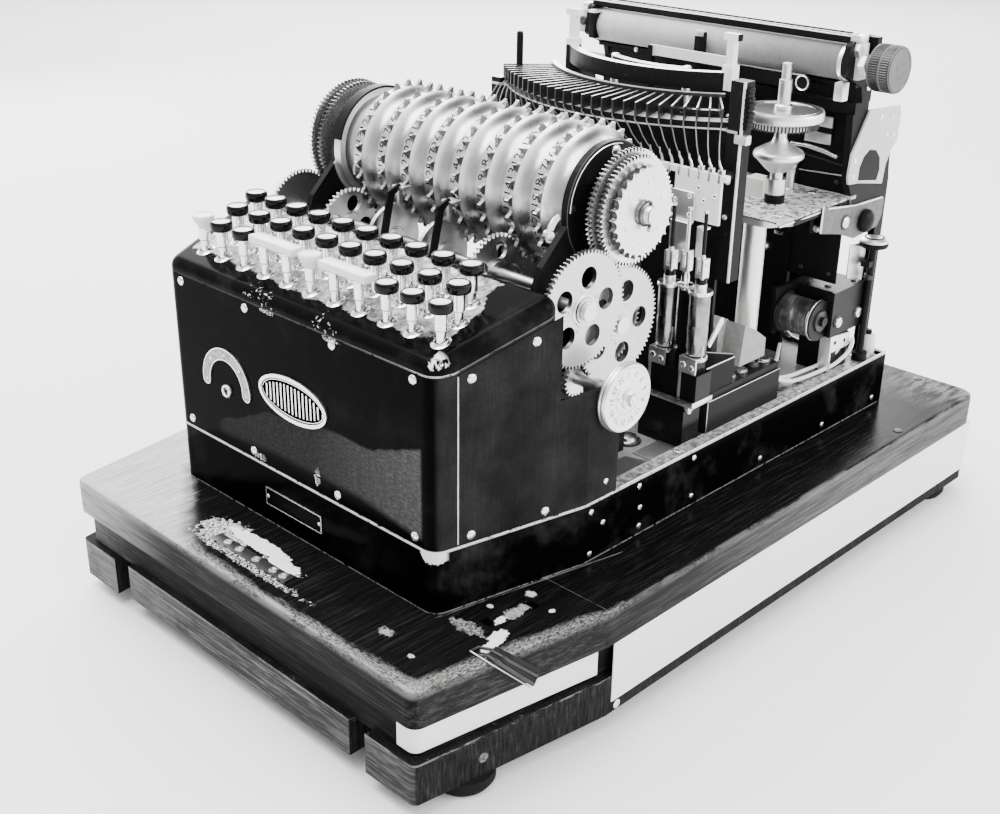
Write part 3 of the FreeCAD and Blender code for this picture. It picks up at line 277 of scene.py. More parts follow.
def enamel(name, place=None):
    """Gloss black enamel with haze, fine scratches and chipped edges; on the faces chosen by place the haze is a
    painted reflection of the floor.
    """
    m = Mat(name, ior=1.4, spec=0.015)
    broad = m.noise(45, 4, 0.6)
    fine = m.noise(2.2, 5, 0.7)
    streak = m.noise(1.2, 3, 0.6, stretch=(1, 1, 26))
    nx, ny, nz = m.facing()
    chips = m.f("MULTIPLY", m.step(m.noise(3.2, 5, 0.75), 0.74, 0.78), 0.5)
    haze = m.f("MULTIPLY", m.step(broad, 0.50, 0.80), 0.06)
    # the haze that place returns is a painted reflection of the floor (partly wear low on the front); it joins the haze
    # mask and lightens the base colour
    if place is not None:
        extra_chip, painted_reflection_and_wear = place(m, fine, broad, nx, ny, nz)
        chips = m.most(chips, extra_chip)
        haze = m.most(haze, painted_reflection_and_wear)
    dust = m.f("MULTIPLY", m.step(fine, 0.55, 0.85), 0.2)
    tone = m.f("MULTIPLY", haze, m.f("MULTIPLY_ADD", m.f("ADD", fine, streak), 0.85, 0.12))
    c0 = m.mix(tone, (0.0009, 0.0009, 0.0010), (0.078, 0.078, 0.078))
    c1 = m.mix(m.f("MULTIPLY", dust, 0.04), c0, (0.25, 0.25, 0.25))
    m.put("base", m.mix(chips, c1, (0.72, 0.72, 0.70)))
    m.put("rough", m.f("ADD", m.f("MULTIPLY_ADD", haze, 0.22, 0.13), m.f("MULTIPLY", chips, 0.3), clamp=True))
    m.bump(m.f("SUBTRACT", m.f("MULTIPLY", fine, 0.25), chips), 0.0002, 0.35)
    return m.m


# ---------------------------------------------------------------- materials of the body
def lower_wood(name):
    """Recessed layer, runners and plank: dull stained wood, lighter on the ends that face forward."""
    m = Mat(name, ior=1.45, spec=0.03)
    nx, ny, nz = m.facing()
    front = m.step(ny, -0.5, -0.85)
    grain = m.noise(2.2, 6, 0.7, stretch=(24, 24, 1), twist=0.3)
    fineg = m.noise(0.8, 4, 0.7, stretch=(20, 20, 1))
    upright = m.noise(1.6, 5, 0.7, stretch=(1, 1, 9))
    blot = m.noise(30, 4, 0.6)
    g = m.f("ADD", m.f("MULTIPLY", grain, 0.6), m.f("MULTIPLY", fineg, 0.4))
    dull = m.ramp(g, (0.34, 0.0014), (0.50, 0.0042), (0.66, 0.020))
    marks = m.ramp(upright, (0.38, 0.006), (0.55, 0.022), (0.72, 0.06))
    low = m.step(m.z, -52.5, -53.5)
    dull = m.mix(m.f("MULTIPLY", low, m.f("MULTIPLY_ADD", front, -1.0, 0.6)), dull, marks)
    # plank under the front and the left runner's end are the palest
    plank = m.f("MULTIPLY", low, front)
    pale = m.ramp(g, (0.36, 0.010), (0.50, 0.042), (0.64, 0.17))
    c = m.mix(plank, dull, pale)
    left = m.f("MULTIPLY", m.f("MULTIPLY", front, m.most(m.step(m.x, -110.0, -205.0), m.f("MULTIPLY", low, m.step(m.x, 20.0, -190.0)))), 0.6)
    c = m.mix(left, c, m.ramp(g, (0.34, 0.05), (0.62, 0.26)))
    # worn upper edge of the runners
    edge = m.f("MULTIPLY", m.band(m.z, -54.6, -53.0, 0.3), m.step(m.noise(5, 5, 0.75, stretch=(4, 4, 1)), 0.47, 0.56))
    edge = m.most(m.f("MULTIPLY", edge, m.step(nz, 0.6, 0.3)), m.f("MULTIPLY", m.band(m.z, -57.2, -53.0, 0.5), m.step(m.noise(2.0, 5, 0.75, stretch=(3, 3, 1)), 0.62, 0.67)))
    c = m.mix(m.f("MULTIPLY", edge, 0.5), c, (0.27, 0.265, 0.255))
    nail = m.spot(m.y, m.z, -14.0, -70.5, 3.6, 3.6)
    nail2 = m.spot(m.y, m.z, -14.0, -70.5, 2.2, 2.2)
    ring = m.f("MULTIPLY", nail, m.step(nx, 0.5, 0.9))
    c = m.mix(m.f("MULTIPLY", ring, m.f("MULTIPLY_ADD", m.step(m.noise(1.6, 4, 0.7), 0.42, 0.6), 0.4, 0.12)), c, (0.34, 0.335, 0.325))
    fl = m.noise(2.5, 5, 0.8)
    c = m.mix(m.f("MULTIPLY", m.step(fl, 0.70, 0.74), 0.5), c, (0.36, 0.355, 0.345))
    c = m.mix(m.f("MULTIPLY", m.step(blot, 0.5, 0.7), 0.35), c, (0.006, 0.006, 0.006))
    m.put("base", c)
    m.put("rough", m.f("MULTIPLY_ADD", g, 0.3, 0.40, clamp=True))
    m.bump(m.f("ADD", g, m.f("MULTIPLY", upright, 0.3)), 0.0005, 0.6)
    return m.m


def board_wood(name):
    """Top board: dark varnish with a gloss, worn pale along its edges, with a breadboard end across the front."""
    m = Mat(name, ior=1.45, spec=0.03)
    nx, ny, nz = m.facing()
    up = m.step(nz, 0.55, 0.9)
    edgewood = m.step(nz, 0.9, 0.55)
    frontface = m.step(ny, -0.4, -0.8)
    grain = m.noise(2.4, 6, 0.70, stretch=(1, 24, 1), twist=0.3)
    fineg = m.noise(0.8, 4, 0.72, stretch=(1, 30, 1))
    grainx = m.noise(2.2, 6, 0.70, stretch=(26, 1, 1), twist=0.3)
    blot = m.noise(42, 4, 0.6)
    g = m.f("ADD", m.f("MULTIPLY", grain, 0.6), m.f("MULTIPLY", fineg, 0.4))
    base = m.ramp(g, (0.36, 0.0018), (0.52, 0.0045), (0.68, 0.020))
    # scratches along the grain on the top
    scr = m.step(m.noise(0.55, 4, 0.75, stretch=(1, 16, 1)), 0.66, 0.73)
    base = m.mix(m.f("MULTIPLY", m.f("MULTIPLY", scr, up), 0.45), base, (0.17, 0.168, 0.163))
    # faces round the rim: plain brown wood in mid tone, paler to the left
    gx = m.ramp(grainx, (0.32, 0.0018), (0.50, 0.0065), (0.70, 0.036))
    gy = m.ramp(g, (0.32, 0.004), (0.50, 0.016), (0.68, 0.060))
    left = m.f("MULTIPLY", m.step(m.x, -60.0, -205.0), frontface)
    rim = m.mix(frontface, gy, gx)
    rim = m.mix(m.f("MULTIPLY", left, 0.8), rim, m.ramp(grainx, (0.32, 0.12), (0.66, 0.55)))
    pale_back = m.f("MULTIPLY", m.step(m.y, 110.0, 420.0), m.f("MULTIPLY", m.step(nx, 0.5, 0.9), 0.55))
    rim = m.mix(pale_back, rim, m.ramp(g, (0.36, 0.03), (0.62, 0.22)))
    base = m.mix(edgewood, base, rim)
    # painted sheen to the left of the machine, drawn as pale wood on the top; varnish thin at the far right end
    reach = m.f("ADD", m.f("MULTIPLY_ADD", m.f("MINIMUM", m.y, 5.0), 1.4, 140.0), m.f("MULTIPLY", m.f("SUBTRACT", m.noise(20, 5, 0.65, stretch=(1, 2.5, 1)), 0.5), 46.0))
    left_sheen = m.f("MULTIPLY", m.f("MULTIPLY", m.step(m.f("ADD", m.x, reach), 16.0, -12.0), up), m.step(m.f("ADD", m.y, m.f("MULTIPLY", reach, 0.6)), 330.0, 190.0))
    base = m.mix(m.f("MULTIPLY", left_sheen, 0.92), base, m.ramp(g, (0.33, 0.14), (0.48, 0.36), (0.62, 0.60)))
    far = m.f("MULTIPLY", m.f("MULTIPLY", m.step(m.y, 520.0, 592.0), m.step(m.x, 100.0, 190.0)), m.step(m.noise(6, 5, 0.7, stretch=(1, 5, 1)), 0.40, 0.62))
    base = m.mix(m.f("MULTIPLY", far, m.f("MULTIPLY", up, 0.5)), base, (0.30, 0.297, 0.29))
    # wear along the edges
    half = m.f("MINIMUM", m.f("MULTIPLY_ADD", m.y, 0.1634, 203.8), 218.0)
    side = m.f("SUBTRACT", half, m.f("ABSOLUTE", m.x))
    front = m.f("ADD", m.y, 66.0)
    nf = m.noise(13, 5, 0.7, stretch=(3.5, 1, 1))
    ns = m.noise(13, 5, 0.7, stretch=(1, 4.0, 1))
    ef = m.step(m.f("SUBTRACT", m.f("ADD", front, m.f("MULTIPLY", m.f("SUBTRACT", nf, 0.5), 26.0)), m.line(m.x, (-218.0, 15.0), (60.0, 9.0), (150.0, 10.0), (190.0, 15.0))), 1.0, -9.0)
    es = m.step(m.f("SUBTRACT", m.f("ADD", side, m.f("MULTIPLY", m.f("SUBTRACT", ns, 0.5), 18.0)), m.line(m.y, (-66.0, 15.0), (30.0, 11.0), (80.0, 8.0), (130.0, 2.0), (590.0, 1.0))), 0.0, -7.0)
    sf = m.step(m.noise(1.1, 6, 0.8, stretch=(3, 1, 1)), 0.42, 0.62)
    ss = m.step(m.noise(1.1, 6, 0.8, stretch=(1, 3, 1)), 0.42, 0.62)
    wf = m.f("MULTIPLY", ef, m.f("MULTIPLY_ADD", sf, 0.9, 0.05))
    ws = m.f("MULTIPLY", es, m.f("MULTIPLY_ADD", ss, 0.85, 0.05))
    hard_f = m.f("MULTIPLY", m.band(front, -1.0, 4.0, 1.5), m.step(nf, 0.40, 0.55))
    top_line = m.f("MULTIPLY", m.step(m.z, -7.0, -2.0), 1.0)
    wear = m.f("MULTIPLY", m.most(wf, ws, m.f("MULTIPLY", hard_f, 0.8)), top_line)
    back_line = m.f("MULTIPLY", m.f("MULTIPLY", m.step(m.y, 95.0, 130.0), m.step(side, 3.0, 0.5)), m.step(ns, 0.44, 0.56))
    wear = m.most(wear, m.f("MULTIPLY", m.f("MULTIPLY", back_line, top_line), 0.3))
    dots = m.f("MULTIPLY", m.step(m.noise(2.6, 5, 0.8), 0.735, 0.765), 0.8)
    wear = m.most(wear, m.f("MULTIPLY", dots, m.f("MULTIPLY", up, m.step(m.y, 110.0, 60.0))))
    # remains of a pasted label in front of the machine
    rag = m.noise(7.0, 6, 0.75)
    rag2 = m.noise(2.2, 5, 0.8)
    lab = m.spot(m.x, m.y, -12.0, -25.0, 34.0, 6.5, rag, 1.4)
    lab2 = m.spot(m.x, m.y, 22.0, -30.0, 19.0, 5.5, rag, 2.0)
    lab3 = m.f("MULTIPLY", m.spot(m.x, m.y, -42.0, -33.0, 24.0, 15.0, rag, 2.4), m.step(rag2, 0.46, 0.52))
    lab4 = m.f("MULTIPLY", m.spot(m.x, m.y, 0.0, -47.5, 62.0, 3.5, rag, 2.8), m.step(rag2, 0.48, 0.56))
    paper = m.most(lab, lab2, m.f("MULTIPLY", lab3, 0.8), m.f("MULTIPLY", lab4, 0.75))
    # splashes by the corner
    rag3 = m.noise(5.5, 4, 0.75)
    s1 = m.most(m.spot(m.x, m.y, 184.5, 15.0, 4.2, 7.5, rag3, 2.6), m.spot(m.x, m.y, 190.0, 1.5, 3.6, 6.5, rag3, 2.0))
    s2 = m.most(m.spot(m.x, m.y, 188.5, 9.0, 3.8, 7.0, rag3, 1.8), m.spot(m.x, m.y, 173.5, 27.0, 3.0, 6.0, rag3, 2.0))
    s3 = m.f("MULTIPLY", m.spot(m.x, m.y, 174.0, 43.0, 4.6, 12.0, rag3, 3.2), 0.45)
    s4 = m.f("MULTIPLY", m.f("MULTIPLY", m.spot(m.x, m.y, 164.0, 7.5, 13.0, 5.5, rag3, 3.0), m.step(rag2, 0.40, 0.60)), 0.42)
    s5 = m.f("MULTIPLY", m.spot(m.x, m.y, 166.0, 65.0, 3.8, 3.4, rag2, 3.0), 0.8)
    s6 = m.spot(m.x, m.y, 189.6, 60.0, 1.9, 2.3, rag2, 1.6)
    s7 = m.f("MULTIPLY", m.spot(m.x, m.y, 157.2, 35.2, 2.4, 2.0, rag2, 1.6), 0.8)
    s8 = m.most(m.f("MULTIPLY", m.spot(m.x, m.y, 132.0, -33.0, 5.0, 3.2, rag2, 5.0), 0.30),
                m.f("MULTIPLY", m.spot(m.x, m.y, 162.5, -39.5, 2.4, 1.8, rag2, 3.0), 0.5),
                m.f("MULTIPLY", m.spot(m.x, m.y, 157.0, 92.0, 3.0, 7.0, rag2, 5.0), 0.5))
    streaks = m.step(m.noise(1.5, 4, 0.75, stretch=(4, 1, 1)), 0.36, 0.56, 0.35, 1.0)
    paper = m.f("MULTIPLY", m.most(paper, s1, s2, m.f("MULTIPLY", m.most(s3, s4), streaks), s5, s6, s7, s8), up)
    base = m.mix(m.f("MULTIPLY", wear, m.f("MULTIPLY_ADD", up, 0.45, 0.40)), base, (0.40, 0.395, 0.385))
    base = m.mix(paper, base, (0.78, 0.78, 0.765))
    # two latch holes drawn as near-black squares: painted shade in place of the recesses
    hole_shade = m.most(m.f("MULTIPLY", m.band(m.x, 164.5, 174.0, 0.4), m.band(m.y, 17.5, 24.0, 0.4)),
                  m.f("MULTIPLY", m.band(m.x, 171.5, 180.5, 0.4), m.band(m.y, 53.0, 59.0, 0.4)))
    base = m.mix(m.f("MULTIPLY", hole_shade, up), base, (0.001, 0.001, 0.001))
    joint = m.f("MULTIPLY", m.f("MULTIPLY", m.band(m.y, 86.25, 86.75, 0.12), m.step(ns, 0.38, 0.55)), up)
    base = m.mix(m.f("MULTIPLY", joint, 0.5), base, (0.16, 0.16, 0.155))
    foot = m.f("MULTIPLY", m.f("MULTIPLY", m.band(m.f("SUBTRACT", m.f("MULTIPLY_ADD", m.y, 0.2076, 141.0), m.f("ABSOLUTE", m.x)), -1.9, -0.7, 0.4),
                               m.band(m.y, 2.0, 150.0, 3.0)), m.f("MULTIPLY", m.step(ns, 0.40, 0.52), up))
    base = m.mix(m.f("MULTIPLY", foot, 0.4), base, (0.26, 0.26, 0.25))
    m.put("base", base)
    dull = m.most(m.f("MULTIPLY", wear, 0.8), paper)
    m.put("rough", m.f("ADD", m.f("MULTIPLY", dull, 0.4), m.f("MULTIPLY_ADD", m.step(blot, 0.4, 0.7), 0.10, m.f("MULTIPLY_ADD", edgewood, 0.22, 0.15)), clamp=True))
    m.bump(m.f("ADD", m.f("MULTIPLY", g, 0.8), m.f("MULTIPLY", dull, -0.5)), 0.0004, 0.5)
    return m.m


def metal(name, tone, rough, stain=0.25, brush=None, size=14, dark=0.35, metallic=1.0, grit=0.10):
    m = Mat(name, metal=metallic)
    n = m.noise(size, 5, 0.65)
    fine = m.noise(0.8, 4, 0.7, stretch=brush or (1, 1, 1))
    c = m.mix(m.f("MULTIPLY", m.step(n, 0.42, 0.72), stain), (tone, tone, tone * 0.985), (tone * dark, tone * dark, tone * dark))
    c = m.mix(m.f("MULTIPLY", m.step(fine, 0.48, 0.75), 0.18), c, (tone * 0.45, tone * 0.45, tone * 0.45))
    m.put("base", c)
    m.put("rough", m.f("ADD", m.f("MULTIPLY_ADD", n, 0.16, rough - 0.08), m.f("MULTIPLY", fine, grit), clamp=True))
    m.bump(fine, 0.00012, 0.25)
    return m.m


def paint(name, tone, rough, spread=0.3, size=6, bump=0.4, ior=1.45, tint=(1, 1, 1), wear=None, spec=0.3):
    m = Mat(name, ior=ior, spec=spec)
    n = m.noise(size, 5, 0.68)
    big = m.noise(size * 7, 4, 0.6)
    lo = tuple(tone * (1 - spread) * k for k in tint)
    hi = tuple(tone * (1 + spread) * k for k in tint)
    c = m.mix(m.f("MULTIPLY_ADD", big, 0.5, m.f("MULTIPLY", n, 0.5)), lo, hi)
    if wear is not None:
        w = wear(m, n)
        c = m.mix(w, c, (0.55, 0.55, 0.54))
    m.put("base", c)
    m.put("rough", m.f("MULTIPLY_ADD", n, 0.22, rough - 0.11, clamp=True))
    m.bump(n, 0.0003, bump)
    return m.m


def front_places(m, fine, broad, nx, ny, nz):
    """Housing: bright line and chips along the seams, a painted floor reflection (partly wear) as a hazy zone low on
    the front, painted floor reflection as gray haze on the side panels.
    """
    front = m.step(ny, -0.55, -0.9)
    side = m.step(m.f("ABSOLUTE", nx), 0.6, 0.9)
    n = m.noise(7, 5, 0.7)
    wob = m.f("MULTIPLY", m.f("SUBTRACT", m.noise(22, 4, 0.55), 0.5), 9.0)
    # lower zone of painted floor reflection, partly wear: a wedge that opens from left to right, dark again just above
    # the tray seam
    top = m.f("ADD", m.line(m.x, (-95.0, 60.0), (-28.0, 89.0), (39.0, 99.7), (84.0, 100.5), (131.0, 116.0)), wob)
    low = m.line(m.x, (-95.0, 54.0), (-22.0, 60.6), (69.0, 61.0), (131.0, 54.0))
    zone = m.f("MULTIPLY", m.step(m.f("SUBTRACT", m.z, top), 1.4, -1.4), m.step(m.f("SUBTRACT", m.z, low), -4.0, 3.0))
    zone = m.f("MULTIPLY", zone, m.f("MULTIPLY", m.step(m.x, -95.0, -80.0), m.step(m.x, 131.5, 128.5)))
    scr = m.step(m.noise(1.5, 5, 0.8, stretch=(3, 1, 1)), 0.40, 0.62)
    amount = m.line(m.x, (-95.0, 0.16), (20.0, 0.24), (85.0, 0.60), (131.0, 0.85))
    low_reflection_and_wear = m.f("MULTIPLY", m.f("MULTIPLY", zone, front), m.f("MULTIPLY", amount, m.f("MULTIPLY_ADD", m.f("MULTIPLY", n, scr), 1.1, 0.55)))
    # side faces: painted reflection of the floor as mottled gray haze
    gray = m.f("MULTIPLY", side, m.f("MULTIPLY_ADD", m.step(m.noise(34, 4, 0.55), 0.30, 0.70), 0.12, 0.10))
    line = m.f("MULTIPLY", m.band(m.z, 45.8, 46.7, 0.25), m.step(n, 0.40, 0.48))
    seam = m.f("SUBTRACT", m.z, m.f("MAXIMUM", m.f("MULTIPLY_ADD", m.y, 0.3, 162.5), 167.0))
    line2 = m.f("MULTIPLY", m.f("MULTIPLY", m.band(seam, -0.35, 0.3, 0.12), m.step(n, 0.40, 0.50)), m.f("MULTIPLY", m.line(m.x, (-150.0, 0.04), (60.0, 0.10), (115.0, 0.25), (140.0, 0.85)), m.step(m.y, 24.0, 10.0, 0.16, 1.0)))
    rag = m.noise(3.5, 5, 0.8)
    spots = [m.spot(m.x, m.z, -22.0, 165.8, 8.0, 1.6, rag, 2.4), m.spot(m.x, m.z, 45.0, 165.0, 8, 2.0, rag, 2.4),
             m.spot(m.x, m.z, -40.5, 50.5, 7.0, 2.8, rag, 2.2), m.spot(m.x, m.z, 25.0, 58.0, 3.0, 6.5, rag, 2.0)]
    c = m.f("MULTIPLY", m.most(*spots), front)
    c = m.f("MULTIPLY", c, m.step(m.noise(1.7, 4, 0.8), 0.50, 0.55))
    return m.most(c, m.f("MULTIPLY", line, 0.8), m.f("MULTIPLY", line2, 0.7)), m.most(low_reflection_and_wear, gray)


def lid_places(m, fine, broad, nx, ny, nz):
    rag = m.noise(4.0, 5, 0.8)
    drip = m.noise(2.2, 3, 0.6, stretch=(1, 1, 7))
    c1 = m.most(m.spot(m.x, m.z, 139.0, 180.0, 4.8, 3.0, rag, 2.0), m.f("MULTIPLY", m.spot(m.x, m.z, 139.5, 176.5, 4.6, 5.0, rag, 1.0), m.step(drip, 0.46, 0.52)))
    c1 = m.f("MULTIPLY", c1, m.step(m.y, 14.0, 9.0))
    n = m.noise(7, 5, 0.7)
    seam = m.f("SUBTRACT", m.z, m.f("MAXIMUM", m.f("MULTIPLY_ADD", m.y, 0.3, 162.9), 167.4))
    line = m.f("MULTIPLY", m.f("MULTIPLY", m.step(seam, 0.6, 0.25), m.step(n, 0.34, 0.46)), m.f("MULTIPLY", m.line(m.x, (-150.0, 0.05), (60.0, 0.10), (115.0, 0.28), (140.0, 0.9)), m.step(m.y, 24.0, 10.0, 0.16, 1.0)))
    tiny = m.step(m.noise(2.6, 3, 0.7), 0.60, 0.63)
    big = m.noise(6.0, 4, 0.75)
    near = m.most(m.spot(m.x, m.z, -34.0, 174.0, 17.0, 4.0, big, 3.0), m.spot(m.x, m.z, -24.0, 169.0, 12.0, 1.6, big, 2.0),
                  m.spot(m.x, m.z, 30.0, 176.0, 3.5, 3.0, big, 2.0), m.spot(m.x, m.z, 38.0, 171.0, 13.0, 3.4, big, 3.0))
    run = m.f("MULTIPLY", m.f("MULTIPLY", near, tiny), m.step(m.y, 12.0, 8.0))
    few = m.f("MULTIPLY", m.step(m.noise(1.6, 3, 0.7), 0.765, 0.785), m.step(seam, 12.0, 8.0))
    return m.most(c1, line, run, m.f("MULTIPLY", few, 0.7)), m.f("MULTIPLY", m.step(broad, 0.5, 0.7), 0.3)


def tray_places(m, fine, broad, nx, ny, nz):
    n = m.noise(5, 5, 0.72)
    top = m.f("MULTIPLY", m.step(m.z, 44.3, 45.4), m.step(n, 0.34, 0.46))
    corner = m.f("MULTIPLY", m.spot(m.x, m.z, 138.0, 44.0, 9.0, 6.5, m.noise(4, 4, 0.8), 1.3), m.step(m.y, 12.0, 8.0))
    foot = m.f("MULTIPLY", m.band(m.z, 0.0, 1.0, 0.25), m.step(n, 0.42, 0.5))
    # side faces: painted reflection of the floor as faint gray haze
    side = m.step(m.f("ABSOLUTE", nx), 0.6, 0.9)
    return m.most(m.f("MULTIPLY", top, 0.85), corner, m.f("MULTIPLY", foot, 0.22)), m.f("MULTIPLY", side, m.f("MULTIPLY", m.step(broad, 0.5, 0.8), 0.25))


M_HOUSING = enamel("enamel_housing", front_places)
M_TRAY = enamel("enamel_tray", tray_places)
M_ENAMEL = enamel("enamel_plain")


def make_lid():
    m = Mat("enamel_lid_worn", ior=1.46, spec=0.02)
    broad = m.noise(45, 4, 0.6)
    fine = m.noise(2.2, 5, 0.7)
    nx, ny, nz = m.facing()
    chips, haze = lid_places(m, fine, broad, nx, ny, nz)
    half = m.f("MULTIPLY_ADD", m.y, 0.2076, 141.0)
    w1 = m.f("MULTIPLY", m.f("SUBTRACT", m.noise(13, 5, 0.66), 0.5), 13.0)
    w2 = m.f("MULTIPLY", m.f("SUBTRACT", m.noise(3.0, 4, 0.7), 0.5), 7.0)
    wob = m.f("ADD", w1, w2)
    d_front = m.f("SUBTRACT", m.y, m.line(m.x, (-140.0, 20.0), (-39.0, 16.5), (0.0, 14.0), (56.0, 17.5), (97.0, 15.5), (126.0, 23.0)))
    d_left = m.f("SUBTRACT", m.f("ADD", half, m.x), 13.0)
    d_right = m.f("SUBTRACT", m.line(m.y, (10.0, 128.0), (53.0, 127.0), (70.0, 118.0), (84.0, 117.0), (96.0, 101.0)), m.x)
    d_side = m.f("MINIMUM", d_left, d_right)
    d_back = m.f("SUBTRACT", 84.0, m.y)
    d = m.f("ADD", m.f("MINIMUM", m.f("MINIMUM", d_front, d_side), d_back), wob)
    worn = m.f("MULTIPLY", m.step(d, -0.7, 0.9), m.step(nz, 0.85, 0.93))
    mott = m.noise(5.5, 6, 0.72)
    mott2 = m.noise(16, 4, 0.6)
    bare = m.ramp(m.f("MULTIPLY_ADD", mott, 0.6, m.f("MULTIPLY", mott2, 0.4)), (0.36, 0.03), (0.46, 0.17), (0.56, 0.48), (0.70, 0.84))
    black = m.mix(m.f("MULTIPLY", haze, fine), (0.0022, 0.0022, 0.0024), (0.05, 0.05, 0.05))
    c = m.mix(worn, black, bare)
    m.put("base", m.mix(chips, c, (0.75, 0.75, 0.73)))
    m.put("metal", m.f("MULTIPLY", worn, 0.55))
    m.put("rough", m.lerp(worn, m.f("MULTIPLY_ADD", haze, 0.2, 0.12), m.f("MULTIPLY_ADD", mott, 0.3, 0.28)))
    m.bump(m.f("ADD", m.f("MULTIPLY", worn, -0.8), m.f("MULTIPLY", mott, 0.2)), 0.0003, 0.5)
    return m.m


M_LID = make_lid()
M_BOARD = board_wood("wood_board")
M_LOWER = lower_wood("wood_lower")
M_NICKEL = metal("nickel_satin", 0.74, 0.27, stain=0.22, size=9)
M_STEEL = metal("steel_worn", 0.62, 0.34, stain=0.45, size=11)
M_BRIGHT = metal("steel_bright", 0.86, 0.22, stain=0.12, size=16)
M_CHROME = metal("chrome_stem", 0.90, 0.14, stain=0.10, size=12, grit=0.05)
M_DARKMETAL = metal("metal_dark", 0.045, 0.34, stain=0.5, size=8, metallic=0.7)
M_FRAME = paint("frame_black", 0.007, 0.36, spread=0.6, size=5, spec=0.07)
M_CAST = paint("cast_gray", 0.20, 0.62, spread=0.42, size=3.2, bump=0.9, spec=0.1)
M_CASTLIGHT = paint("cast_light", 0.52, 0.55, spread=0.25, size=4.0, bump=0.7)
M_RUBBER = paint("rubber_dark", 0.010, 0.75, spread=0.4, size=4, bump=0.6, spec=0.06)


def make_platen():
    """Rubber of the roller, polished paler towards its left end."""
    m = Mat("platen_rubber_worn", ior=1.45, spec=0.12)
    n = m.noise(7, 5, 0.68)
    turn = m.noise(1.2, 4, 0.7, stretch=(1, 30, 30))
    pale = m.line(m.x, (-98.0, 0.52), (20.0, 0.40), (90.0, 0.20), (148.0, 0.13))
    t = m.f("MULTIPLY", pale, m.f("MULTIPLY_ADD", m.f("ADD", n, turn), 0.5, 0.5))
    m.put("base", m.mix(t, (0.004, 0.004, 0.004), (1.0, 1.0, 0.99)))
    m.put("rough", m.f("MULTIPLY_ADD", n, 0.2, 0.40))
    m.bump(turn, 0.0001, 0.3)
    return m.m


M_PLATEN = make_platen()
M_KEYBLACK = paint("key_rim_black", 0.003, 0.16, spread=0.4, size=8, bump=0.05, ior=1.5, spec=0.14)
M_KEYWHITE = paint("key_top_white", 0.80, 0.16, spread=0.08, size=6, bump=0.05, ior=1.5, tint=(1, 0.995, 0.975))
M_BARWHITE = paint("bar_cream", 0.74, 0.24, spread=0.10, size=10, bump=0.1, ior=1.5, tint=(1, 0.99, 0.96))
M_CARD = paint("card_white", 0.82, 0.75, spread=0.05, size=22, bump=0.15, tint=(1, 1, 0.99))
M_WHITEMETAL = metal("metal_white", 0.92, 0.34, stain=0.10, size=14)
M_COIL = paint("coil_black", 0.006, 0.20, spread=0.6, size=7, bump=0.15, spec=0.14)
M_INSUL = paint("insulator_dark", 0.011, 0.38, spread=0.4, size=4, spec=0.08)
M_IVORY = paint("insulator_white", 0.72, 0.40, spread=0.12, size=5)
M_INK = paint("ink_black", 0.003, 0.6, spread=0.3, size=3, bump=0.1, spec=0.04)
M_WIRE = metal("wire_dark", 0.20, 0.35, stain=0.5, size=10)
M_PLATEGRAY = metal("plate_gray", 0.13, 0.46, stain=0.6, size=5, metallic=0.6)


def make_winding():
    m = Mat("coil_winding", spec=0.12)
    n = m.noise(5, 5, 0.7)
    lay = m.noise(0.9, 4, 0.75, stretch=(1, 24, 24))
    blot = m.noise(13, 4, 0.6, stretch=(1, 1.6, 1))
    yy = m.f("SUBTRACT", m.y, 429.0)
    zz = m.f("SUBTRACT", m.z, 93.0)
    r = m.f("SQRT", m.f("ADD", m.f("MULTIPLY", yy, yy), m.f("MULTIPLY", zz, zz)))
    wound = m.f("MULTIPLY", m.band(m.x, 114.4, 145.2, 0.2), m.band(r, 13.0, 15.6, 0.3))
    tone = m.ramp(m.f("MULTIPLY_ADD", lay, 0.45, m.f("MULTIPLY", blot, 0.55)), (0.34, 0.03), (0.50, 0.13), (0.66, 0.50))
    m.put("base", m.mix(wound, m.mix(n, (0.003, 0.003, 0.003), (0.011, 0.011, 0.011)), tone))
    m.put("metal", m.f("MULTIPLY", wound, 0.8))
    m.put("rough", m.f("MULTIPLY_ADD", n, 0.18, m.lerp(wound, 0.30, 0.34)))
    m.bump(lay, 0.00018, 0.6)
    return m.m


M_WINDING = make_winding()


def by_normal(name, lit_top_tone, shaded_flank_tone, rough):
    """Bare metal with painted light: tops painted bright as if lit, flanks painted in dark shade."""
    m = Mat(name)
    nx, ny, nz = m.facing()
    n = m.noise(6, 5, 0.7)
    k = m.step(nz, 0.35, 0.8)
    c = m.mix(m.f("MULTIPLY", k, m.f("MULTIPLY_ADD", n, 0.4, 0.75, clamp=True)), (shaded_flank_tone,) * 3, (lit_top_tone,) * 3)
    m.put("base", c)
    m.put("metal", 0.85)
    m.put("rough", m.f("MULTIPLY_ADD", n, 0.2, rough - 0.1))
    m.bump(n, 0.0002, 0.3)
    return m.m


M_LEVER = by_normal("lever_plate", 0.85, 0.045, 0.36)


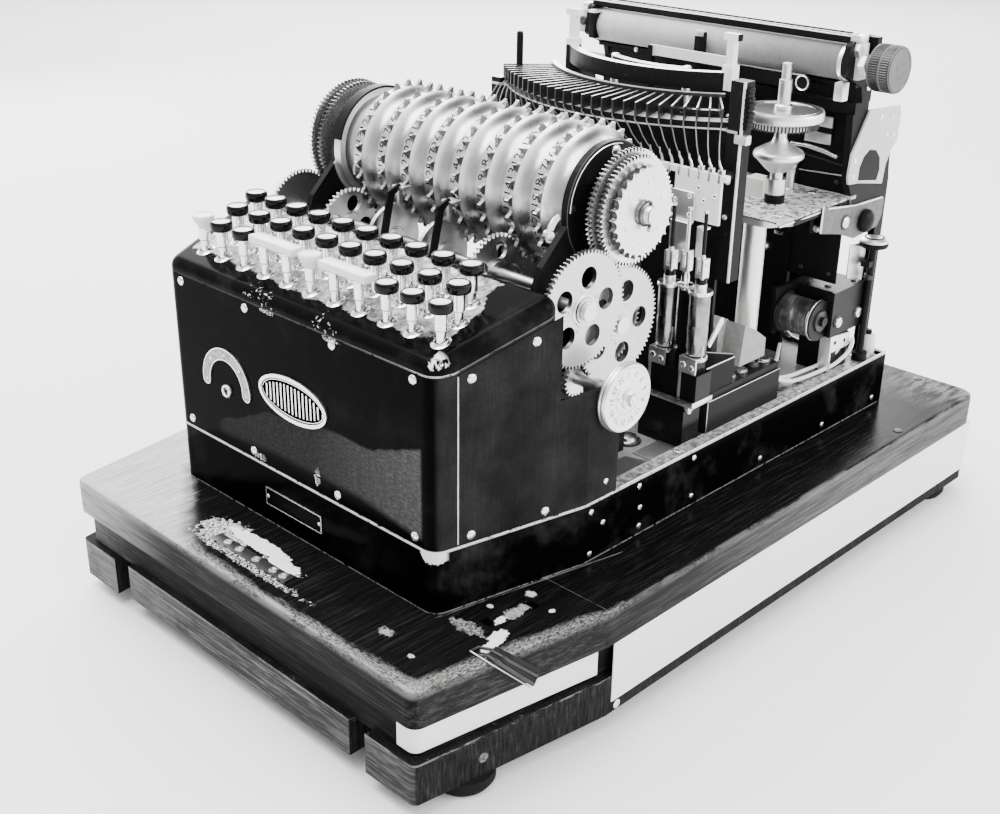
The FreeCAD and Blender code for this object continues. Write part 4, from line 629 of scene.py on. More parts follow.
def gear_metal(name, tone, wall, rough):
    """Bright nickel on the faces across the shaft, with painted shade on the flanks of the teeth and the walls of the
    holes.
    """
    m = Mat(name)
    nx, ny, nz = m.facing()
    n = m.noise(9, 5, 0.65)
    fine = m.noise(0.8, 4, 0.7)
    # painted shade: only faces towards +x, and upward faces in part, keep the bright tone; all other faces take the
    # dark wall tone
    k = m.f("MAXIMUM", m.step(nx, 0.5, 0.85), m.f("MULTIPLY", m.step(nz, 0.55, 0.95), 0.75))
    c = m.mix(m.f("MULTIPLY", k, m.f("MULTIPLY_ADD", n, -0.30, 1.12, clamp=True)), (wall,) * 3, (tone,) * 3)
    c = m.mix(m.f("MULTIPLY", m.step(fine, 0.5, 0.78), 0.16), c, (tone * 0.5,) * 3)
    m.put("base", c)
    m.put("metal", 0.9)
    m.put("rough", m.f("MULTIPLY_ADD", n, 0.16, rough - 0.08))
    m.bump(fine, 0.00012, 0.25)
    return m.m


M_GEAR = gear_metal("gear_nickel", 0.86, 0.07, 0.26)
M_GEARDULL = gear_metal("gear_nickel_dull", 0.62, 0.07, 0.34)


def make_rotor():
    m = Mat("rotor_nickel", metal=1.0)
    yy = m.f("SUBTRACT", m.y, 184.0)
    zz = m.f("SUBTRACT", m.z, 234.5)
    r = m.f("SQRT", m.f("ADD", m.f("MULTIPLY", yy, yy), m.f("MULTIPLY", zz, zz)))
    n = m.noise(7, 5, 0.66)
    turn = m.noise(0.5, 3, 0.6, stretch=(1, 40, 40))
    c = m.mix(m.f("MULTIPLY", m.step(n, 0.45, 0.72), 0.25), (0.76, 0.76, 0.75), (0.30, 0.30, 0.30))
    # painted shade: darker deep in the cove below radius 45
    low = m.step(r, 45.0, 41.5)
    c = m.mix(m.f("MULTIPLY", low, 0.35), c, (0.30, 0.30, 0.30))
    # painted shade in the hollow behind each toothed rim
    cove_shade = m.f("MULTIPLY", m.step(r, 49.0, 44.0), m.step(m.noise(24, 3, 0.5), 0.25, 0.75, 0.45, 1.0))
    c = m.mix(m.f("MULTIPLY", cove_shade, 0.5), c, (0.08, 0.08, 0.08))
    # painted shade on the flanks of the teeth and on the left face of the toothed rim
    nx, ny, nz = m.facing()
    tooth_flank_shade = m.f("MULTIPLY", m.step(r, 49.0, 49.8), 0.72)
    rim_face_shade = m.f("MULTIPLY", m.step(nx, -0.6, -0.9), m.step(r, 45.0, 46.5))
    c = m.mix(m.most(tooth_flank_shade, m.f("MULTIPLY", rim_face_shade, 0.8)), c, (0.10, 0.10, 0.10))
    tip = m.f("MULTIPLY", m.step(r, 53.2, 53.8), 0.8)
    c = m.mix(tip, c, (0.80, 0.80, 0.79))
    m.put("base", c)
    m.put("rough", m.f("MULTIPLY_ADD", n, 0.14, m.f("MULTIPLY_ADD", turn, 0.10, 0.17)))
    m.bump(turn, 0.0001, 0.25)
    return m.m


M_ROTOR = make_rotor()


def make_unit():
    """Printing unit frame: one casting painted black, its plates, columns and bars bare or light."""
    m = Mat("unit_frame", spec=0.07)
    nx, ny, nz = m.facing()
    n = m.noise(4.5, 6, 0.7)
    big = m.noise(26, 4, 0.6)

    def inbox(x0, x1, y0, y1, z0, z1):
        g = 0.6
        a = m.f("MULTIPLY", m.band(m.x, x0 - g, x1 + g, 0.15), m.band(m.y, y0 - g, y1 + g, 0.15))
        return m.f("MULTIPLY", a, m.band(m.z, z0 - g, z1 + g, 0.15))

    col = inbox(110.5, 129.5, 352.5, 371.5, 96, 187.6)
    light = m.most(col, inbox(110, 150, 268, 270.6, 208, 241), inbox(86, 104, 392, 408, 195, 209),
                   inbox(102, 110, 424, 432, 195, 220), inbox(-22, 62, 398, 401, 290, 298),
                   inbox(91, 103, 339, 351, 286.5, 328), inbox(-67, -53, 339, 355, 299.5, 328),
                   inbox(-96, 154, 267.5, 273.5, 240.5, 244.5))
    shelf_top = m.f("MULTIPLY", inbox(-112, 153, 344, 453, 193.6, 195.2), m.f("MULTIPLY_ADD", m.step(n, 0.42, 0.55), 0.65, 0.12))
    shelf_edge = m.f("MULTIPLY", inbox(-112, 153, 344, 453, 187.6, 194), m.f("MULTIPLY", m.step(ny, -0.2, -0.6), 0.75))
    cast = m.most(inbox(92, 128.5, 311, 353, 38, 118.5), inbox(120, 146, 317, 353, 83.4, 118))
    edge = m.f("MULTIPLY", inbox(143.2, 144.6, 295.6, 297.2, 157, 304), 0.8)
    ring_top = m.f("MULTIPLY", m.band(m.z, 298.2, 299.6, 0.3), m.step(nz, 0.5, 0.9))
    arc_top = m.f("MULTIPLY", inbox(-125, 140, 255, 325, 268, 274), m.f("MULTIPLY", m.most(m.step(nz, 0.5, 0.9), m.step(m.z, 269.6, 269.2)), 0.75))
    bed = m.f("MULTIPLY", m.band(m.z, 33.0, 45.5, 0.4), 1.0)
    rail = inbox(150, 162, 150, 512, 38.4, 44.4)
    worn = m.f("MULTIPLY", m.step(m.noise(9, 5, 0.75), 0.62, 0.68), 0.25)
    black = m.mix(n, (0.0025, 0.0025, 0.0026), (0.010, 0.010, 0.010))
    black = m.mix(worn, black, (0.06, 0.06, 0.06))
    c = m.mix(bed, black, m.mix(n, (0.10, 0.10, 0.10), (0.40, 0.40, 0.39)))
    c = m.mix(m.f("MULTIPLY", rail, 0.9), c, m.mix(m.step(n, 0.4, 0.6), (0.12, 0.12, 0.12), (0.5, 0.5, 0.48)))
    c = m.mix(cast, c, m.mix(n, (0.16, 0.16, 0.16), (0.40, 0.40, 0.39)))
    c = m.mix(m.most(light, shelf_top, shelf_edge, edge, ring_top, arc_top), c, (0.84, 0.84, 0.82))
    m.put("base", c)
    m.put("metal", m.f("MULTIPLY", m.most(col, shelf_edge, ring_top, arc_top), 0.9))
    m.put("rough", m.f("MULTIPLY_ADD", n, 0.25, m.lerp(cast, 0.26, 0.5), clamp=True))
    m.bump(n, 0.0003, 0.5)
    return m.m


M_UNIT = make_unit()


def make_rotor_frame():
    m = Mat("rotor_frame_paint", spec=0.07)
    n = m.noise(5, 5, 0.7)
    yy = m.f("SUBTRACT", m.y, 184.0)
    zz = m.f("SUBTRACT", m.z, 234.5)
    r = m.f("SQRT", m.f("ADD", m.f("MULTIPLY", yy, yy), m.f("MULTIPLY", zz, zz)))
    # rim: painted highlight, a faint light line on the outer edge of the right plate's face, upper part only
    rim = m.f("MULTIPLY", m.band(m.x, 119.2, 120.0, 0.12), m.f("MULTIPLY", m.band(r, 42.4, 43.3, 0.2), m.step(m.z, 200.0, 215.0)))
    left = m.f("MULTIPLY", m.band(m.x, -119.0, -94.0, 0.3), m.step(r, 46.0, 44.5))
    nuts = m.step(m.x, 119.7, 120.2)
    black = m.mix(n, (0.0025, 0.0025, 0.0026), (0.011, 0.011, 0.011))
    c = m.mix(m.most(m.f("MULTIPLY", rim, 0.10), m.f("MULTIPLY", left, 0.9), nuts), black, (0.80, 0.80, 0.79))
    m.put("base", c)
    m.put("metal", m.f("MULTIPLY", m.most(left, nuts), 0.9))
    m.put("rough", m.f("MULTIPLY_ADD", n, 0.2, 0.24))
    m.bump(n, 0.0002, 0.4)
    return m.m


M_ROTORFRAME = make_rotor_frame()


def dress(node, *mats):
    o = NODES[node]
    for i in range(max(1, len(o.material_slots))):
        if i < len(o.material_slots):
            o.material_slots[i].material = mats[min(i, len(mats) - 1)]
        else:
            o.data.materials.append(mats[0])


dress("wood_top_board", M_BOARD)
dress("wood_lower_frame", M_LOWER)
dress("rubber_feet", M_RUBBER)
dress("base_tray", M_TRAY)
dress("key_housing", M_HOUSING)
dress("key_deck_cover", M_LID)
dress("key_guide_plate", M_STEEL)
dress("rotor_frame", M_ROTORFRAME)
dress("print_unit_frame", M_UNIT)
dress("type_lever_fan", M_LEVER)
dress("solenoid_pair", M_COIL)
dress("terminal_strip", M_INSUL)
dress("electromagnet", M_WINDING)
for i in range(1, 9):
    dress("rotor_%d" % i, M_ROTOR)
dress("rotor_shaft_gears", M_GEAR)
dress("idler_gear_rear", M_GEARDULL)
dress("idler_gear_front", M_GEARDULL)
dress("hand_wheel", M_WHITEMETAL)
dress("stepping_shaft", M_NICKEL)
dress("carriage_frame", M_FRAME)
dress("platen_roller", M_PLATEN)
dress("ribbon_spindle", M_NICKEL)
dress("trim_plates", M_BRIGHT)
dress("cover_screws", M_BRIGHT)


# ---------------------------------------------------------------- mesh kit, millimetres in the working frame
AXES = {"x": (Vector((0, 1, 0)), Vector((0, 0, 1)), Vector((1, 0, 0))),
        "y": (Vector((0, 0, 1)), Vector((1, 0, 0)), Vector((0, 1, 0))),
        "z": (Vector((1, 0, 0)), Vector((0, 1, 0)), Vector((0, 0, 1)))}


def basis(ax):
    if isinstance(ax, str):
        if ax.startswith("-"):
            u, v, w = AXES[ax[1:]]
            return v, u, -w
        return AXES[ax]
    w = Vector(ax).normalized()
    u = w.cross(Vector((0, 0, 1)))
    if u.length < 1e-4:
        u = Vector((1, 0, 0))
    u.normalize()
    return u, w.cross(u).normalized(), w


class Piece:
    def __init__(s, name, *mats):
        s.name, s.mats, s.v, s.f, s.k = name, mats, [], [], []

    def add(s, verts, faces, mat=0):
        o = len(s.v)
        s.v += [Vector(p) for p in verts]
        s.f += [tuple(i + o for i in f) for f in faces]
        s.k += [mat] * len(faces)

    def turn(s, prof, at, ax="z", n=28, mat=0, shear=None):
        """Turned shape from (radius, height) points along ax; a radius of 0 closes it."""
        u, v, w = basis(ax)
        at = Vector(at)
        verts, rows = [], []
        for r, h in prof:
            if r < 1e-6:
                rows.append([len(verts)])
                verts.append(at + w * h)
            else:
                rows.append(list(range(len(verts), len(verts) + n)))
                for q in range(n):
                    a = 2 * math.pi * q / n
                    verts.append(at + u * (r * math.cos(a)) + v * (r * math.sin(a)) + w * h)
        if shear is not None:
            verts = [p + Vector((0, 0, shear * (p.y - at.y))) for p in verts]
        faces, ks = [], []
        for i in range(len(prof) - 1):
            a, b = rows[i], rows[i + 1]
            mk = mat[i] if isinstance(mat, (list, tuple)) else mat
            for q in range(n):
                q2 = (q + 1) % n
                if len(a) == 1 and len(b) == 1:
                    continue
                if len(a) == 1:
                    faces.append((a[0], b[q2], b[q]))
                elif len(b) == 1:
                    faces.append((a[q], a[q2], b[0]))
                else:
                    faces.append((a[q], a[q2], b[q2], b[q]))
                ks.append(mk)
        o = len(s.v)
        s.v += verts
        s.f += [tuple(i + o for i in f) for f in faces]
        s.k += ks

    def box(s, lo, size, mat=0, soft=0.4, seg=2, spin=None, about=None):
        """Box with rounded edges; spin is a rotation Matrix about its middle or a given point."""
        bm = bmesh.new()
        bmesh.ops.create_cube(bm, size=1.0)
        c = Vector(lo) + Vector(size) / 2
        for p in bm.verts:
            p.co = Vector((p.co.x * size[0], p.co.y * size[1], p.co.z * size[2]))
        w = min(soft, min(size) * 0.45)
        if w > 0:
            bmesh.ops.bevel(bm, geom=list(bm.edges), offset=w, segments=seg, profile=0.6, affect="EDGES")
        bm.verts.index_update()
        vs = [p.co.copy() for p in bm.verts]
        fs = [[q.index for q in f.verts] for f in bm.faces]
        bm.free()
        if spin is not None:
            if about is None:
                vs = [spin @ p for p in vs]
                vs = [p + c for p in vs]
            else:
                a = Vector(about)
                vs = [spin @ (p + c - a) + a for p in vs]
        else:
            vs = [p + c for p in vs]
        s.add(vs, fs, mat)

    def rod(s, pts, r, n=10, mat=0, ends=True):
        """Round rod along points."""
        P = [Vector(p) for p in pts]
        rows = []
        verts = []
        ref = None
        for i, p in enumerate(P):
            d = (P[min(i + 1, len(P) - 1)] - P[max(i - 1, 0)]).normalized()
            if ref is None:
                ref = d.cross(Vector((0, 0, 1)))
                if ref.length < 1e-3:
                    ref = Vector((1, 0, 0))
            u = (ref - d * ref.dot(d)).normalized()
            ref = u
            v = d.cross(u)
            rr = r[i] if isinstance(r, (list, tuple)) else r
            rows.append(len(verts))
            for q in range(n):
                a = 2 * math.pi * q / n
                verts.append(p + u * (rr * math.cos(a)) + v * (rr * math.sin(a)))
        faces = []
        for i in range(len(P) - 1):
            a, b = rows[i], rows[i + 1]
            for q in range(n):
                q2 = (q + 1) % n
                faces.append((a + q, a + q2, b + q2, b + q))
        if ends:
            faces.append(tuple(rows[0] + q for q in reversed(range(n))))
            faces.append(tuple(rows[-1] + q for q in range(n)))
        s.add(verts, faces, mat)

    def plate(s, pts, at, thick, ax="z", mat=0, soft=0.3, holes=()):
        """Flat plate from an outline in the plane across ax, thick along +ax, with rounded edges."""
        u, v, w = AXES[ax]
        bm = bmesh.new()
        vs = [bm.verts.new(u * p[0] + v * p[1] + w * at) for p in pts]
        f = bm.faces.new(vs)
        ext = bmesh.ops.extrude_face_region(bm, geom=[f])
        for e in ext["geom"]:
            if isinstance(e, bmesh.types.BMVert):
                e.co += w * thick
        bmesh.ops.recalc_face_normals(bm, faces=bm.faces)
        if soft > 0:
            sharp = [e for e in bm.edges if len(e.link_faces) == 2 and e.calc_face_angle(0) > 0.9]
            bmesh.ops.bevel(bm, geom=sharp, offset=min(soft, abs(thick) * 0.4), segments=1, profile=0.6, affect="EDGES")
        bm.verts.index_update()
        s.add([p.co.copy() for p in bm.verts], [[q.index for q in f.verts] for f in bm.faces], mat)
        bm.free()

    def take(s, mesh, place, mat=0):
        """Adds a prepared (verts, faces) mesh through a placing function."""
        s.add([place(p) for p in mesh[0]], mesh[1], mat)

    def done(s, body="base", slot=None, replaces=(), smooth=34, bevel=None):
        me = bpy.data.meshes.new(s.name)
        me.from_pydata([W(p) for p in s.v], [], s.f)
        for m in s.mats:
            me.materials.append(m)
        me.polygons.foreach_set("material_index", s.k)
        me.polygons.foreach_set("use_smooth", [True] * len(me.polygons))
        bm = bmesh.new()
        bm.from_mesh(me)
        bmesh.ops.recalc_face_normals(bm, faces=bm.faces)
        bm.to_mesh(me)
        bm.free()
        me.set_sharp_from_angle(angle=math.radians(smooth))
        me.update()
        o = bpy.data.objects.new(s.name, me)
        bpy.context.scene.collection.objects.link(o)
        if bevel:
            b = o.modifiers.new("soft_edges", "BEVEL")
            b.width = bevel / 1000.0
            b.segments = 2
            b.limit_method = "ANGLE"
            b.angle_limit = math.radians(40)
        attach(o, body)
        if replaces:
            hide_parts(*replaces)
        return o


def slotted(kind="dome", slot_w=0.16, slot_d=0.45):
    """Screw head of radius 1 and height 0.5 along +Z with a real slot, as (verts, faces)."""
    bm = bmesh.new()
    n = 32
    prof = {"dome": [(1.0, 0.0), (1.0, 0.16), (0.92, 0.30), (0.72, 0.42), (0.40, 0.49), (0.0, 0.51)],
            "flat": [(1.0, 0.0), (1.0, 0.36), (0.93, 0.45), (0.86, 0.47), (0.0, 0.47)]}[kind]
    rows = []
    for r, h in prof:
        if r == 0:
            rows.append([bm.verts.new((0, 0, h))])
        else:
            rows.append([bm.verts.new((r * math.cos(2 * math.pi * q / n), r * math.sin(2 * math.pi * q / n), h)) for q in range(n)])
    for a, b in zip(rows, rows[1:]):
        for q in range(n):
            q2 = (q + 1) % n
            if len(b) == 1:
                bm.faces.new((a[q], a[q2], b[0]))
            else:
                bm.faces.new((a[q], a[q2], b[q2], b[q]))
    bm.faces.new(list(reversed(rows[0])))
    me = bpy.data.meshes.new("screw_tmp")
    bm.to_mesh(me)
    bm.free()
    o = bpy.data.objects.new("screw_tmp", me)
    bpy.context.scene.collection.objects.link(o)
    cb = bmesh.new()
    bmesh.ops.create_cube(cb, size=1.0)
    for p in cb.verts:
        p.co = Vector((p.co.x * 2.4, p.co.y * slot_w, p.co.z * slot_d + 0.5))
    cm = bpy.data.meshes.new("slot_tmp")
    cb.to_mesh(cm)
    cb.free()
    c = bpy.data.objects.new("slot_tmp", cm)
    bpy.context.scene.collection.objects.link(c)
    mod = o.modifiers.new("cut", "BOOLEAN")
    mod.object = c
    mod.operation = "DIFFERENCE"
    mod.solver = "EXACT"
    dg = bpy.context.evaluated_depsgraph_get()
    out = bpy.data.meshes.new_from_object(o.evaluated_get(dg))
    res = ([v.co.copy() for v in out.vertices], [tuple(p.vertices) for p in out.polygons])
    bpy.data.objects.remove(o)
    bpy.data.objects.remove(c)
    for x in (me, cm, out):
        bpy.data.meshes.remove(x)
    return res


DOME = slotted("dome")
FLAT = slotted("flat", slot_w=0.20)


def screw(p, at, ax, rad, tall, angle=0.0, mat=0, kind=None):
    """A slotted head at a point, standing out along ax."""
    u, v, w = basis(ax)
    at = Vector(at)
    ca, sa = math.cos(math.radians(angle)), math.sin(math.radians(angle))
    p.take(kind or DOME, lambda q: at + u * (rad * (q.x * ca - q.y * sa)) + v * (rad * (q.x * sa + q.y * ca)) + w * (q.z * 2 * tall), mat)


_texts = {}


def text_mesh(word):
    """Flat numeral mesh about its middle, one unit tall, cut into narrow strips so that it can be bent."""
    if word in _texts:
        return _texts[word]
    cu = bpy.data.curves.new("num_tmp", "FONT")
    cu.body = word
    cu.size = 1.0
    cu.align_x = "CENTER"
    cu.align_y = "CENTER"
    cu.resolution_u = 2
    ob = bpy.data.objects.new("num_tmp", cu)
    bpy.context.scene.collection.objects.link(ob)
    dg = bpy.context.evaluated_depsgraph_get()
    me = bpy.data.meshes.new_from_object(ob.evaluated_get(dg))
    bm = bmesh.new()
    bm.from_mesh(me)
    ys = [v.co.y for v in bm.verts]
    hgt = max(ys) - min(ys)
    mid = (max(ys) + min(ys)) / 2
    for v in bm.verts:
        v.co = Vector((v.co.x / hgt, (v.co.y - mid) / hgt, 0))
    for k in range(-8, 9):
        bmesh.ops.bisect_plane(bm, geom=list(bm.verts) + list(bm.edges) + list(bm.faces), plane_co=(k * 0.17, 0, 0), plane_no=(1, 0, 0))
    bm.verts.index_update()
    res = ([v.co.copy() for v in bm.verts], [tuple(q.index for q in f.verts) for f in bm.faces])
    bm.free()
    bpy.data.objects.remove(ob)
    bpy.data.meshes.remove(me)
    _texts[word] = res
    return res


# ---------------------------------------------------------------- keys
def half_at(y):
    return 141.0 + 24.5 / 118.0 * y if y < 118 else 165.5


ROW_A = [(128, 19.5, "dark"), (103, 19.5, "dark"), (79, 19.5, "dark"), (40.5, 19.5, "bar"), (3, 19.5, "light"),
         (-34.5, 19.5, "bar"), (-71, 19.5, "dark"), (-97, 19.5, "dark"), (-119, 19.5, "light")]
ROW_B = [(x, 39.5, "dark") for x in (123, 97, 71, 45, 20.5, -4, -29, -54, -79, -105)]
ROW_C = [(x, 58.6, "dark") for x in (114.5, 89, 64, 39.5, 15, -10, -35.5, -60.5, -85, -108)]
ferr = Piece("key_ferrules", M_CHROME)
for n, (x, y, kind) in enumerate(ROW_A + ROW_B + ROW_C, start=1):
    deck = 176 + 0.3 * y
    T = deck + 27
    label = {"dark": "key_%02d", "bar": "bar_key_%02d", "light": "light_key_%02d"}[kind] % n
    k = Piece("look_" + label, M_KEYBLACK, M_KEYWHITE, M_CHROME, M_BARWHITE)
    for sx in ((x - 12.5, x + 12.5) if kind == "bar" else (x,)):
        top_r = 4.3 if kind != "light" else 4.0
        k.turn([(0, -69), (3.2, -69), (3.2, -36.2), (5.2, -36.0), (5.2, -33.0), (3.2, -32.8), (3.2, -19.2), (4.15, -18.2), (4.15, -12),
                (top_r, -8.6), (top_r + 0.5, -6.6), (top_r + 0.5, -5.4), (0, -5.4)], (sx, y, T), mat=2, n=24)
        ferr.turn([(4.2, -0.4), (4.2, 1.6), (4.45, 1.95), (4.85, 1.5), (5.5, 0.6), (6.6, 0.05), (6.6, -0.4)], (sx, y, deck), shear=0.3, n=26)
    if kind == "dark":
        k.turn([(4.5, -7.3), (6.1, -7.3), (7.1, -6.8), (7.8, -5.7), (8.0, -4.3), (8.0, -2.2), (7.8, -1.1), (7.35, -0.35), (6.85, -0.05),
                (6.35, -0.15), (6.1, -0.55), (5.6, -0.72), (3.8, -0.98), (1.9, -1.12), (0, -1.16)], (x, y, T), mat=[0] * 10 + [1] * 4, n=40)
    elif kind == "light":
        k.turn([(4.0, -10.0), (4.6, -8.6), (5.6, -6.6), (6.9, -4.6), (7.8, -2.8), (8.0, -1.4), (7.8, -0.4), (7.2, 0.0), (6.4, -0.3), (4.0, -0.75),
                (0, -0.95)], (x, y, T), mat=3, n=40)
    else:
        k.box((x - 23.5, y - 5.5, T - 5.5), (47, 11, 5.5), mat=3, soft=1.3, seg=3)
        k.box((x - 22.0, y - 3.9, T - 0.42), (44.0, 7.8, 0.4), mat=3, soft=0.18)
        for sx in (x - 12.5, x + 12.5):
            k.turn([(5.6, -6.6), (6.0, -6.2), (6.0, -5.4), (0, -5.4)], (sx, y, T), mat=2, n=28)
    k.done(label, "light_key" if kind != "dark" else "black_key", [label])
ferr.done("base", "steel")

# ---------------------------------------------------------------- cover screws
scr = Piece("cover_screw_heads", M_BRIGHT)
for x in (-124, -47, 47, 124):
    screw(scr, (x, 0, 162), "-y", 3.3, 1.6, angle=random.uniform(20, 150))
    screw(scr, (x, 0, 53), "-y", 3.3, 1.6, angle=random.uniform(20, 150))
for side in (-1, 1):
    for y, z in ((27, 162), (74, 176), (27, 53), (84, 53)):
        nrm = Vector((side * 118.0, -24.5, 0)).normalized()
        screw(scr, (side * half_at(y) + nrm.x * 0.5, y + nrm.y * 0.5, z), nrm, 3.3, 1.7, angle=random.uniform(20, 150))
    for y, z in ((138, 58), (137, 26), (124, 39), (124, 6), (176, 40), (178, 22), (178, 7), (240, 40), (240, 8), (330, 8), (420, 8), (500, 8)):
        screw(scr, (side * 165.5, y, z), (side, 0, 0), 2.4, 1.2, angle=random.uniform(20, 150))
scr.done("base", "steel", ["cover_screws"])

# side panels of the housing as separate thin sheets with their own edges
for side, nm in ((1, "right"), (-1, "left")):
    pan = Piece("side_panel_" + nm, M_HOUSING)
    nrm = Vector((side * 118.0, -24.5, 0)).normalized()
    out = []
    for y, z in ((18.5, 48.0), (94.0, 48.0), (94.0, 188.6), (18.5, 166.2)):
        out.append((y, z))
    lo = [Vector((side * half_at(y), y, z)) for y, z in out]
    hi = [p + nrm * 0.5 for p in lo]
    inn = []
    for (y, z), dy, dz in zip(out, (0.7, -0.7, -0.7, 0.7), (0.7, 0.7, -0.9, -0.9)):
        inn.append(Vector((side * half_at(y + dy), y + dy, z + dz)) + nrm * 0.8)
    vs = lo + hi + inn
    fs = [(0, 1, 5, 4), (1, 2, 6, 5), (2, 3, 7, 6), (3, 0, 4, 7), (4, 5, 9, 8), (5, 6, 10, 9), (6, 7, 11, 10), (7, 4, 8, 11),
          (8, 9, 10, 11), (3, 2, 1, 0)]
    pan.add(vs, fs)
    pan.done("base", "black_enamel")
    # bright steel rod along each panel's front edge: a painted highlight line on the panel corner
    strip = Piece("side_panel_highlight_" + nm, M_STEEL)
    strip.rod([Vector((side * half_at(17.9), 17.9, z)) + nrm * 0.10 for z in (48.5, 90, 130, 165.0)], 0.55, n=8)
    strip.done("base", "steel")

# ---------------------------------------------------------------- front plates
def band_outline(cx, cz, R, a0, a1, hw, n=40, cap=8):
    """Closed outline of a round-ended arc band in the XZ plane."""
    pts = []
    for q in range(n + 1):
        a = math.radians(a0 + (a1 - a0) * q / n)
        pts.append((cx + (R + hw) * math.cos(a), cz + (R + hw) * math.sin(a)))
    a = math.radians(a1)
    ex, ez = cx + R * math.cos(a), cz + R * math.sin(a)
    for q in range(1, cap):
        b = a + math.pi * q / cap
        pts.append((ex + hw * math.cos(b), ez + hw * math.sin(b)))
    for q in range(n, -1, -1):
        a = math.radians(a0 + (a1 - a0) * q / n)
        pts.append((cx + (R - hw) * math.cos(a), cz + (R - hw) * math.sin(a)))
    a = math.radians(a0)
    ex, ez = cx + R * math.cos(a), cz + R * math.sin(a)
    for q in range(1, cap):
        b = a + math.pi + math.pi * q / cap
        pts.append((ex + hw * math.cos(b), ez + hw * math.sin(b)))
    return pts


def ring_between(p, outer, inner, y0, y_out, y_in, mat):
    """Raised border: from the wall at y0 up to y_out over the outer outline and down to the inner field."""
    n = len(outer)
    rows = [[(a, y0, b) for a, b in outer], [(a, y_out, b) for a, b in outer],
            [(a, y_out, b) for a, b in inner], [(a, y_in, b) for a, b in inner]]
    vs = [q for r in rows for q in r]
    fs = []
    for r in range(3):
        for i in range(n):
            j = (i + 1) % n
            fs.append((r * n + i, r * n + j, (r + 1) * n + j, (r + 1) * n + i))
    p.add(vs, fs, mat)
    p.add(rows[3], [tuple(range(n))], mat + 1)


M_DIAL = metal("dial_mottled", 0.34, 0.44, stain=0.85, size=4.5, dark=0.22, metallic=0.55)
pl = Piece("front_plates", M_BRIGHT, M_DIAL, M_ENAMEL, M_DARKMETAL)
ring_between(pl, band_outline(-75, 95, 24, -2, 182, 4.5), band_outline(-75, 95, 24, -2, 182, 3.75), 0.0, -1.35, -1.0, 0)
for a in (-2, 44, 90, 136, 182):
    t = math.radians(a)
    pl.turn([(1.15, 0.9), (1.15, 1.25), (0.8, 1.55), (0, 1.65)], (-75 + 24 * math.cos(t), 0, 95 + 24 * math.sin(t)), "-y", n=14, mat=0)
# lock barrel: stepped ring, dark well and key slot
pl.turn([(5.0, 0), (5.0, 1.6), (4.6, 2.3), (4.0, 2.6), (3.3, 2.5), (3.0, 1.6)], (-75, 0, 91), "-y", n=32, mat=0)
pl.turn([(3.0, 1.6), (2.6, 1.2), (0, 1.1)], (-75, 0, 91), "-y", n=32, mat=3)
pl.box((-76.9, -1.5, 90.5), (3.8, 0.6, 1.0), mat=2, soft=0.2)
# oval badge: raised border, dark field with evenly spaced upright flutes
NO = 72
ov = lambda s, t=0.0: [(2.5 + (37 - t) * s * math.cos(2 * math.pi * q / NO), 108.5 + (16.5 - t) * s * math.sin(2 * math.pi * q / NO)) for q in range(NO)]
ring_between(pl, ov(1), ov(1, 2.7), 0.0, -1.6, -0.9, 0)
pl.f[-1] = pl.f[-1]
pl.k[-1] = 2
ring_between(pl, ov(1, 3.7), ov(1, 4.2), -0.85, -1.15, -0.9, 0)
pl.k[-1] = 2
for i in range(-7, 8):
    fx = i * 4.0
    h = (16.5 - 6.2) * math.sqrt(max(0.0, 1 - (fx / (37 - 5.6)) ** 2))
    if h > 2.0:
        pl.box((2.5 + fx - 0.75, -1.35, 108.5 - h), (1.5, 0.5, 2 * h), mat=0, soft=0.22)
for sx in (-1, 1):
    pl.turn([(1.5, 1.5), (1.5, 1.9), (1.0, 2.2), (0, 2.3)], (2.5 + sx * 34.4, 0, 108.5), "-y", n=16, mat=0)
# data plate, blank
rect = lambda x0, x1, z0, z1: [(x0, z0), (x1, z0), (x1, z1), (x0, z1)]
ring_between(pl, rect(-35, 28, 15, 29), rect(-34.3, 27.3, 15.7, 28.3), 0.0, -1.0, -0.8, 0)
pl.k[-1] = 2
for x in (-32.5, 25.5):
    screw(pl, (x, -0.8, 22), "-y", 1.6, 0.8, angle=35 if x < 0 else 100, mat=0)
pl.done("base", "bright_plate", ["trim_plates"])

cards = Piece("edge_cards", M_CARD)
cards.box((217.0, 92.0, -74.5), (0.8, 500.0, 47.5), soft=0.15)
cx0, cy0 = 181.93, -54.0
ben = [math.radians(-90.0 + 80.35 * q / 16.0) for q in range(17)]
outl = [(172.0, cy0 - 6.9)] + [(cx0 + 6.9 * math.cos(a), cy0 + 6.9 * math.sin(a)) for a in ben] + [(212.05, 82.0), (211.2, 82.15)]
outl += [(cx0 + 6.1 * math.cos(a), cy0 + 6.1 * math.sin(a)) for a in reversed(ben)] + [(172.0, cy0 - 6.1)]
cards.plate(outl, -50.0, 22.9, "z", soft=0)
cards.done("base", "bright_plate")

# ---------------------------------------------------------------- rotors: numerals round the band
for i in range(8):
    p = Piece("rotor_%d_numerals" % (i + 1), M_INK)
    x0 = -93 + 25.9 * i + 5.35
    for k in range(28):
        a0 = math.radians(360.0 / 28 * k + 3.7 * i + 6.4)
        num = (k + 5 * i) % 28 + 1

        def put(q, a0=a0, x0=x0):
            a = a0 - q.x * 7.0 / 46.0
            r = 46.07
            return (x0 - q.y * 7.0, 184 + r * math.cos(a), 234.5 + r * math.sin(a))
        p.take(text_mesh(str(num)), put)
    p.done("rotor_%d" % (i + 1), "nickel")

